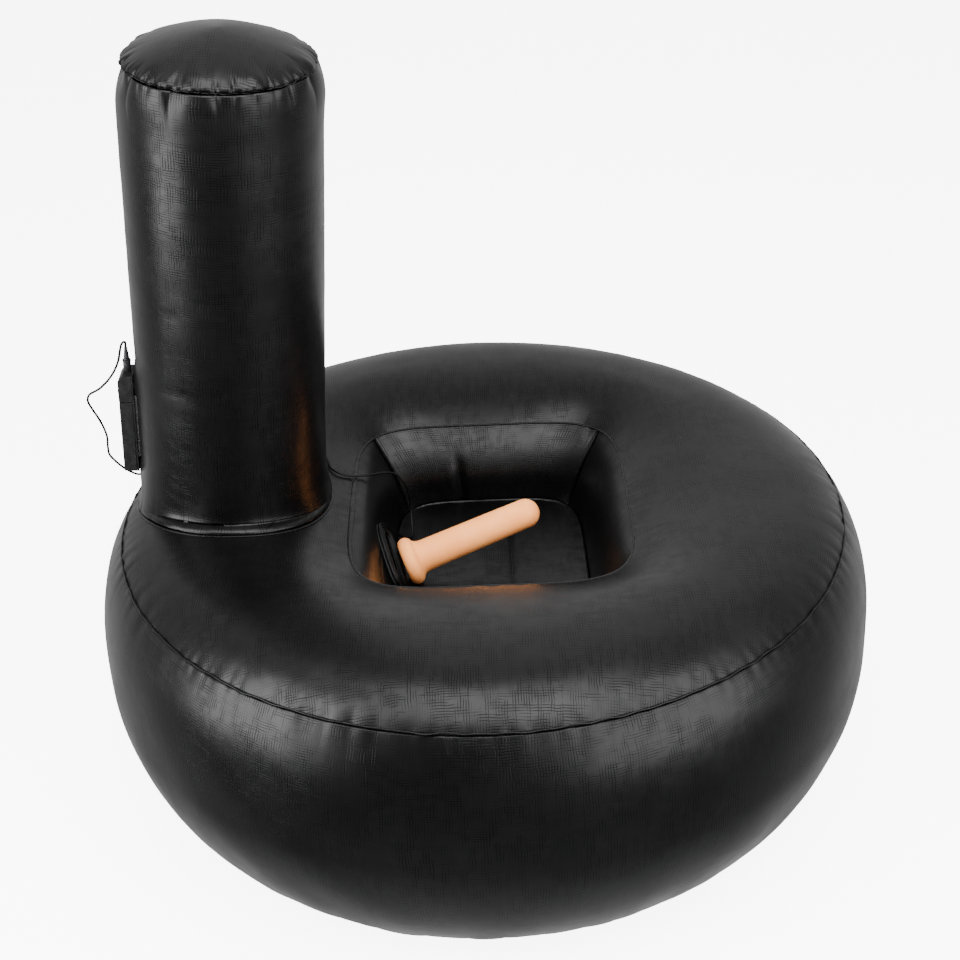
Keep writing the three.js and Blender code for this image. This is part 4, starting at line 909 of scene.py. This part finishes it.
def outer_weld():
    """Hem of the outer seam, square to the film there, wider towards the camera's side."""
    step = 0.0015
    before, middle, after = [float(outer_height(np.array(SEAM_RADIUS + k * step))) for k in (-1, 0, 1)]
    across_way, up_way = unit(np.array([1.0, (after - before) / (2 * step)]))
    angle = round_angles(OUTER_WELD_POINTS)
    line = polar(SEAM_RADIUS, angle, middle)
    out = polar(-up_way, angle, across_way)
    over = polar(-across_way, angle, -up_way)
    width = 0.0030 + 0.0032 * bump(angle, math.pi, 1.1, power=4)
    band("outer_seam_weld", line, out, over, width, thickness=0.0013, seed=51, ragged=0.12, ripple=0.28,
         lip=-0.0010)


def rim_weld():
    """Hem at the well's rim, lying inwards, wider towards the column."""
    angle = round_angles(WELD_POINTS)
    line = well_point(angle, WELL_HALF, RIM_HEIGHT)
    out = unit(well_point(angle, WELL_HALF - 0.005, RIM_HEIGHT) - line)
    over = np.tile([0.0, 0.0, -1.0], (WELD_POINTS, 1))
    width = 0.0036 + 0.0034 * bump(angle, QUARTER, 0.62, power=4)
    band("well_rim_weld", line, out, over, width, thickness=0.0015, seed=52, ragged=0.03, ripple=0.02,
         lip=-0.0012)


def base_weld():
    """Hem that joins the outer wall to the bottom film."""
    thickness = 0.0012
    angle = round_angles(WELD_POINTS)
    line = polar(BASE_RADIUS, angle, thickness)
    over = np.tile([0.0, 0.0, 1.0], (WELD_POINTS, 1))
    out = polar(1.0, angle, 0.0)
    band("base_weld", line, out, over, BASE_HEM, thickness, seed=53, ragged=0.12, ripple=0.0,
         lip=-BASE_HEM / 2)


top = ring_top()
wall = ring_wall()
bottom_sheet()
for side, form in WALL_FORMS.items():
    well_wall(side, **form)
well_floor()
outer_weld()
rim_weld()
base_weld()

# Column
column_angle = round_angles(320)
cap_marks = creases(34, seed=61, spread=1.1)
under_marks = np.sort(np.concatenate([cap_marks[::3], creases(4, seed=62, spread=1.0)]))
column_foot_marks = creases(22, seed=63)
FOLD_MIDDLE = math.pi + 0.12
FOLD_SPAN = 0.95
LIP_HEIGHT = 0.0050
LIP_OUT = 0.0045
LIP_BULGE = 0.0105
FOLD_OUT = 0.0125
FOLD_REACH = 0.0048
FOLD_CREASE = 0.0020
COLUMN_HEM = 0.0012


def turned_by(angle, middle):
    """Angle from a middle, the short way round."""
    return np.angle(np.exp(1j * (angle - middle)))


def folded(angle):
    """One on the side that faces the photograph's camera, falling to nought away from it."""
    return bump(turned_by(angle, FOLD_MIDDLE), 0.0, FOLD_SPAN, power=4)


def foot_along(angle):
    """Length along the axis where the column's side meets the ring's top, found by repeated steps."""
    along = np.zeros_like(angle)
    for _ in range(14):
        point = on_column(angle, along, column_radius(along))
        along = along + top_height(point[..., 0], point[..., 1]) - point[..., 2]
    return along


def foot_spread(angle, from_foot):
    """How far the tube stands outside its flare, most towards the camera's side: there it comes down nearly
    straight, widens by a falling exponential, is tucked in at a crease and bulges over its weld in a
    quarter-round lip."""
    above = FOLD_OUT * np.exp(-from_foot / FOLD_REACH)
    lip = LIP_OUT + LIP_BULGE * np.sqrt(1 - faded(from_foot, LIP_HEIGHT) ** 2)
    crease = FOLD_CREASE * bump(from_foot, LIP_HEIGHT + 0.0004, 0.0010)
    return (np.where(from_foot > LIP_HEIGHT, above, lip) - crease - flare(from_foot)) * folded(angle)


def against_box(angle, along, radius):
    """Where the box is strapped on: the film meets the patch over its height and presses a little further
    out past both its ends, and eases away above, below and beside it."""
    above = faded(along - BOX_ALONG - BOX_REACH)
    below = faded(BOX_ALONG - along, 0.022)
    behind = bump(angle, QUARTER, 0.19, power=4) * np.cos(QUARTER * above) ** 2 * np.cos(QUARTER * below) ** 2
    past = faded(np.maximum(BOX_ALONG + PATCH_LOW - along, along - BOX_ALONG - PATCH_TOP), 0.010)
    return behind * (np.maximum(0, BOX_RADIUS - radius) + BOX_PRESS * past)


# Faint creases beside the box: height over the foot, depth, and how much each climbs for a radian
SIDE_CREASES = [(0.070, 0.0003, 0.012), (0.162, 0.0006, 0.012), (0.170, 0.0010, 0.010),
                (0.262, 0.0004, -0.015)]
BOX_REACH = 0.125
BOX_PRESS = 0.0021
FINE_ROWS = 29
FINE_SHARE = 0.03


def column_side():
    """The column's tube from its base weld to its cap seam: soft flats, a tucked fold over the base weld on
    the side that faces the camera, gathers under the cap, and rows that lie closest in the fold."""
    meeting = foot_along(column_angle)
    foot = meeting + BASE_LIFT
    fine = np.linspace(0, FINE_SHARE, FINE_ROWS)[:-1]
    share = np.concatenate([fine, FINE_SHARE + (1 - FINE_SHARE) * crowded(112, 1.2)])[:, None]
    along = foot + share * (COLUMN_LENGTH - foot)
    angle = np.broadcast_to(column_angle, along.shape)
    from_foot = along - foot
    from_cap = COLUMN_LENGTH - along
    radius = column_radius(along - meeting)
    foot_gathers = gathers(angle, from_foot, column_foot_marks, depth=0.0012, reach=0.016)
    rise = (gathers(angle, from_cap, under_marks, depth=0.0040, reach=0.017, sharpness=0.5, level=0.70,
                    fall=1.7)
            + gathers(angle, from_cap, cap_marks, depth=0.0018, reach=0.007, sharpness=0.5, level=0.55,
                      fall=1.5)
            - SEAM_PINCH * np.exp(-from_cap / 0.007) + 0.0006 * bump(from_cap, 0.026, 0.018)
            + foot_gathers * (1 - 0.7 * folded(angle))
            + 0.0009 * ripples(angle * COLUMN_RADIUS, along * 0.35, seed=64, count=8, low=3.0, high=9.0)
            + 0.00045 * ripples(angle * COLUMN_RADIUS * 0.5, along, seed=65, low=9.0, high=26.0)
            + against_box(angle, along, radius))
    beside_box = bump(turned_by(angle, math.radians(152)), 0.0, 0.30)
    for height, depth, slant in SIDE_CREASES:
        rise = rise - depth * beside_box * bump(from_foot + slant * (angle - 2.6), height, 0.0028)
    grid = lifted(on_column(angle, along, radius + foot_spread(angle, from_foot)), rise)
    uv = paired(np.append(column_angle, TURN) * COLUMN_RADIUS, wrapped(along))
    film_panel("column_side_film", grid, uv, "column_tube", flip=True)


def column_cap():
    """The domed cap, a superellipse over the seam, with irregular pleats that run up from the weld."""
    radial = (1 - np.linspace(0, 1, 62)[:, None]) ** 1.5
    angle = np.broadcast_to(column_angle, (len(radial), len(column_angle)))
    height = CAP_HEIGHT * (1 - radial ** CAP_FULLNESS) ** (1 / CAP_FULLNESS)
    grid = on_column(angle, COLUMN_LENGTH + GAP + height, radial * COLUMN_TOP_RADIUS)
    length = path_length(grid)
    fine_marks = creases(71, seed=66, spread=1.0)
    rise = (gathers(angle, length, cap_marks, depth=0.0034, reach=0.010, sharpness=0.5, level=0.75, fall=1.6)
            + gathers(angle, length, fine_marks, depth=0.0014, reach=0.007, sharpness=0.6, fall=1.6)
            - SEAM_PINCH * np.exp(-length / 0.012)
            + 0.0007 * ripples(radial * np.cos(angle), radial * np.sin(angle), seed=67, low=0.5, high=1.6))
    grid = lifted(grid, rise * faded(radial, 0.4))
    grid[-1] = grid[-1].mean(0)
    uv = polar_uv(length[-1] - length, angle)
    film_panel("column_cap_film", grid, uv, "column_cap", flip=True, pole=-1)


def cap_weld():
    """Hem between the tube and the cap, dipping with the pleats."""
    angle = round_angles(WELD_POINTS)
    rise, _, _ = pillow(angle, cap_marks, 0.5)
    kink = 0.0009 * np.sin(23 * angle + 2 * np.sin(7 * angle)) * (rise - 0.5)
    line = on_column(angle, COLUMN_LENGTH + GAP / 2 + kink,
                     COLUMN_TOP_RADIUS - SEAM_PINCH + 0.0022 * (rise - 0.62))
    out = on_column(angle, 0.0, 1.0) - COLUMN_FOOT
    over = np.tile(-AXIS, (WELD_POINTS, 1))
    band("cap_seam_weld", line, out, over, width=0.0019, thickness=0.0010, seed=68, ragged=0.3, ripple=0.4,
         lip=-0.0010)


def foot_weld():
    """Hem that joins the column to its base, lying on the ring."""
    angle = round_angles(WELD_POINTS)
    along = foot_along(angle)
    reach = column_radius(0.0) + foot_spread(angle, 0.0)
    foot = on_column(angle, along, reach)
    outer = on_column(angle, along, reach + 0.005)
    for points in (foot, outer):
        points[:, 2] = top_height(points[:, 0], points[:, 1]) + COLUMN_HEM
    out = unit(outer - foot)
    over = unit(np.cross(np.gradient(foot, axis=0), out))
    band("column_foot_weld", foot, out, over, width=0.0034, thickness=0.0011, seed=69, ragged=0.03,
         ripple=0.0, lip=-0.0015, replaced=("column_base_panel",))


column_side()
column_cap()
cap_weld()
foot_weld()


# Turned and moulded small pieces
def turned_object(name, profile, place, segments=48):
    """A solid of revolution: each profile point [radius, height] carried round the local Z axis, then put in
    place by a function of local points. A profile that starts and ends on the axis is closed there."""
    profile = np.asarray(profile, float)
    angle = round_angles(segments)
    local = polar(profile[:, :1], angle, profile[:, 1:])
    around = np.append(angle, TURN) * float(profile[:, 0].max())
    return grid_object(name, place(local), paired(around, wrapped(path_length(local))), pole=0)


def rounded(points, size):
    """A profile with its inner corners rounded: each is replaced by a quadratic curve that starts and ends
    at most a size away from it."""
    points = np.asarray(points, float)
    result = [points[0]]
    for before, corner, after in zip(points[:-2], points[1:-1], points[2:]):
        a, b = before - corner, after - corner
        cut_a = min(size, np.linalg.norm(a) * 0.45)
        cut_b = min(size, np.linalg.norm(b) * 0.45)
        result.extend(curve(corner + unit(a) * cut_a, corner, corner + unit(b) * cut_b, 5))
    result.append(points[-1])
    return np.array(result)


def in_plug(local):
    """The box's own directions about the plug's middle line."""
    return in_box(local + np.array([0, PLUG_Y, 0]))


def make_plug():
    """Moulded plug body with a grip waist and a bright ring, and its ribbed, tapered strain relief."""
    low, top = PLUG_LOW, PLUG_LOW + PLUG_LENGTH
    grip, waist, ring = 0.0044, 0.0039, 0.0048
    body = rounded([[0, low], [grip, low], [grip, low + 0.0100], [waist, low + 0.0104], [waist, low + 0.0109],
                    [ring, low + 0.0112], [ring, top], [0, top]], 0.0004)
    plug = turned_object("plug_body", body, in_plug)
    dressed(plug, SEAT, "plug_rubber", plug_rubber, "jack_plug")
    foot = top + GAP
    height = np.linspace(0, 1, 67)
    wide, narrow = 0.0036, 0.0018
    swell = 0.00016 * np.sin(height * TURN * 5.5) * (height > 0.06) * (height < 0.94)
    side = np.stack([wide + (narrow - wide) * height ** 0.85 + swell, foot + RELIEF_LENGTH * height], -1)
    end = foot + RELIEF_LENGTH + 0.0002
    sleeve = np.vstack([[[0, foot]], side, [[0.0013, end], [0, end]]])
    boot = turned_object("plug_boot", sleeve, in_plug, 32)
    dressed(boot, SEAT, "plug_rubber", plug_rubber, "plug_strain_relief")
    return plug, boot


FLAT_ANGLE = math.radians(1.0)
EDGE_ANGLE = math.radians(35.0)


def softened(name, new_name, body, slot, material, width, segments=2, trim=0.0):
    """A moulded piece from a node's own shape: doubles merged, flat faces joined and kept convex, edges
    rounded, and the top edge of the battery cover lowered by a trim."""
    mesh = nodes[name].data.copy()
    mesh.name = new_name
    shape = bmesh.new()
    shape.from_mesh(mesh)
    bmesh.ops.remove_doubles(shape, verts=shape.verts, dist=SAME_PLACE)
    bmesh.ops.dissolve_limit(shape, angle_limit=FLAT_ANGLE, verts=shape.verts, edges=shape.edges)
    bmesh.ops.connect_verts_concave(shape, faces=shape.faces)
    shape.to_mesh(mesh)
    shape.free()
    if trim:
        points = np.zeros(3 * len(mesh.vertices), np.float32)
        mesh.vertices.foreach_get("co", points)
        points = points.reshape(-1, 3)
        on_edge = (points - box_origin) @ AXIS > COVER_TOP - 0.001
        points = points - AXIS * trim * on_edge[:, None]
        mesh.vertices.foreach_set("co", points.astype(np.float32).ravel())
    if "custom_normal" in mesh.attributes:
        mesh.attributes.remove(mesh.attributes["custom_normal"])
    mesh.polygons.foreach_set("use_smooth", np.full(len(mesh.polygons), True, bool))
    piece = linked(new_name, mesh)
    edges = piece.modifiers.new("edges", "BEVEL")
    edges.width = width
    edges.segments = segments
    edges.limit_method = "ANGLE"
    edges.angle_limit = EDGE_ANGLE
    edges.harden_normals = True
    edges.use_clamp_overlap = True
    return dressed(piece, body, slot, material, name)


plug, boot = make_plug()
softened("box_front", "box_front_case", SEAT, "case_plastic", case_plastic, 0.0009, 3)
softened("box_back", "box_back_case", SEAT, "case_plastic", case_plastic, 0.0004)
softened("battery_cover", "battery_cover_case", "battery_cover", "case_plastic", case_plastic, 0.0009, 3,
         trim=0.0007)
softened("power_button", "power_button_cap", "power_button", "button_plastic", button_plastic, 0.0003)
softened("mode_button", "mode_button_cap", "mode_button", "button_plastic", button_plastic, 0.0003)
for place in ("seat", "column"):
    softened(f"{place}_valve_flange", f"{place}_valve_ring", SEAT, "pvc_film", valve_film, 0.0003)
    for node_part, new_part in (("neck", "tube"), ("stopper", "plug")):
        body = f"{place}_valve_{node_part}"
        softened(body, f"{place}_valve_{new_part}", body, "pvc_film", valve_film, 0.0003)

# Massager
OVER_WAY = np.cross(TIP_WAY, HINGE_WAY)
MASSAGER_TURN = np.column_stack([HINGE_WAY, OVER_WAY, TIP_WAY])


def in_massager(local):
    """Local X along the hinge, Z to the tip, with the middle line above the hinge."""
    return (np.asarray(local, float) + np.array([0, AXIS_LIFT, 0])) @ MASSAGER_TURN.T + HINGE


def make_massager():
    """A plain round-tipped sleeve: a rounded foot, a fillet, a shaft that tapers by a little and a half-round
    tip, hollow behind for the capsule."""
    edge = np.linspace(-QUARTER, QUARTER, 22)
    foot = np.stack([AXIS_LIFT + FOOT_EDGE * np.cos(edge), FOOT_EDGE * np.sin(edge)], -1)[:-3]
    fillet = curve(foot[-1], np.array([SHAFT_RADIUS - 0.0002, FOOT_EDGE + 0.0012]),
                   np.array([SHAFT_RADIUS, SHAFT_START]), 12)
    tip_height = MASSAGER_LENGTH - FOOT_EDGE - SHAFT_TIP_RADIUS
    rise = np.linspace(0, 1, 26)[1:, None]
    shaft = np.hstack([SHAFT_RADIUS + (SHAFT_TIP_RADIUS - SHAFT_RADIUS) * rise,
                       SHAFT_START + (tip_height - SHAFT_START) * rise])
    cap = np.linspace(0, QUARTER, 20)[1:]
    tip = np.stack([SHAFT_TIP_RADIUS * np.cos(cap), tip_height + SHAFT_TIP_RADIUS * np.sin(cap)], -1)
    tip[-1, 0] = 0
    bore = np.array([[0, BORE_TOP], [SLEEVE_BORE, BORE_TOP], [SLEEVE_BORE, -FOOT_EDGE]])
    profile = np.vstack([[SLEEVE_BORE, -FOOT_EDGE], foot, fillet[1:], shaft, tip])
    outside = turned_object("outside", profile, in_massager, 96)
    inside = turned_object("inside", bore, in_massager, 96)
    shape = bmesh.new()
    shape.from_mesh(outside.data)
    shape.from_mesh(inside.data)
    bmesh.ops.remove_doubles(shape, verts=shape.verts, dist=SAME_PLACE)
    bmesh.ops.recalc_face_normals(shape, faces=shape.faces)
    mesh = bpy.data.meshes.new("massager_body")
    shape.to_mesh(mesh)
    shape.free()
    for part in (outside, inside):
        bpy.data.objects.remove(part)
    dressed(linked("massager_body", mesh), "massager", "silicone", silicone, "massager_sleeve")


def make_gland():
    """Tapered rubber boot where the lead goes into the foot."""
    base_radius, end_radius = 0.003, 0.0019
    height = np.linspace(0, 1, 45)
    taper = np.clip((height - 0.5) / 0.5, 0, 1)
    groove = 0.0002 * np.sin(height * TURN * 7) * (height > 0.55) * (height < 0.95)
    side = np.stack([base_radius + (end_radius - base_radius) * taper + groove,
                     GLAND_START + GLAND_LENGTH * height], -1)
    profile = np.vstack([[[0, GLAND_START]], side, [[0, GLAND_START + GLAND_LENGTH]]])
    turn = np.column_stack([-TIP_WAY, OVER_WAY, HINGE_WAY])
    boot = turned_object("lead_boot", profile, lambda local: local @ turn.T + HINGE, 32)
    dressed(boot, "massager", "plug_rubber", plug_rubber, "lead_gland")


make_massager()
make_gland()
softened("foot_cap", "foot_plug", "massager", "silicone", silicone, 0.0006)

# Finishes of the nodes that are shown as they are
for finish_material, names in [
    (black_film, ["floor_tie_web"]),
    (patch_fabric, ["loop_patch", "hook_patch"]),
    (cell_steel, ["cell_1", "cell_2", "cell_3", "cell_4"]),
    (contact_metal, ["contact_spring_strip", "contact_strip"]),
    (board_green, ["circuit_board"]),
    (button_plastic, ["power_switch", "mode_switch", "jack_socket"]),
    (clear_plastic, ["light_guide"]),
    (screw_steel, ["case_screw_1", "case_screw_2"]),
    (plated_pin, ["jack_pin"]),
    (capsule_white, ["capsule_rear", "capsule_front"]),
    (motor_steel, ["motor_can", "motor_shaft", "eccentric_weight"]),
]:
    for name in names:
        slots = nodes[name].material_slots
        for index in range(len(slots)):
            slots[index].link = "OBJECT"
            slots[index].material = finish_material


# Studio lights: place, size, the point that each aims at, and radiance
SOFTBOXES = {
    "softbox_left": ((-0.80, 1.45, 1.25), (1.0, 2.4), (0.0, 0.15, 0.95), 8.0),
    "softbox_right": ((-1.00, -0.98, 1.30), (1.5, 2.6), (0.0, 0.0, 0.85), 4.0),
    "softbox_overhead": ((-0.72, 0.0, 2.60), (1.56, 2.0), (-0.52, 0.0, 0.30), 5.2),
    "softbox_fill": ((-1.20, 0.0, 2.80), (2.0, 2.0), (0.0, 0.0, 0.30), 9.0),
}


FLOOR_REACH = 9
FLOOR_DROP = 0.0005


def studio():
    """Pale floor, two tall softboxes beside the camera, one overhead, a fill that no glossy surface mirrors,
    and a world that is pale far behind and under the object and dark elsewhere."""
    corners = [[x * FLOOR_REACH, y * FLOOR_REACH, -FLOOR_DROP]
               for x, y in ((-1, -1), (1, -1), (1, 1), (-1, 1))]
    floor = mesh_object("floor", corners, [[0, 1, 2, 3]])
    material, _, shader = finish("floor_paint", (0.90, 0.90, 0.90), 0.8, Emission_Strength=7.0)
    shader.inputs["Emission Color"].default_value = (1.0, 1.0, 1.0, 1.0)
    floor.data.materials.append(material)
    floor.visible_glossy = False
    for name, (place, size, aim, radiance) in SOFTBOXES.items():
        data = bpy.data.lights.new(name, "AREA")
        data.shape = "RECTANGLE"
        data.size, data.size_y = size
        data.energy = radiance * math.pi * size[0] * size[1]
        light = linked(name, data)
        light.location = place
        light.visible_camera = False
        light.visible_glossy = name != "softbox_fill"
        way = Vector(aim) - Vector(place)
        light.rotation_euler = way.to_track_quat("-Z", "Y").to_euler()
    world = bpy.data.worlds.new("studio")
    bpy.context.scene.world = world
    world.use_nodes = True
    tree = world.node_tree
    background = tree.nodes["Background"]
    way = node(tree, "ShaderNodeTexCoord").outputs["Generated"]
    split = node(tree, "ShaderNodeSeparateXYZ")
    tree.links.new(way, split.inputs["Vector"])
    far = remap(tree, split.outputs["X"], -0.35, 1.0, 0.03, 0.88)
    under = remap(tree, split.outputs["Z"], -0.62, -1.0, 0.0, 0.45)
    pale = shade(tree, combine(tree, "ADD", far, under), (0.0, 0.0, 0.0), (1.0, 1.0, 1.0))
    tree.links.new(pale, background.inputs["Color"])
    background.inputs["Strength"].default_value = 1.0


studio()
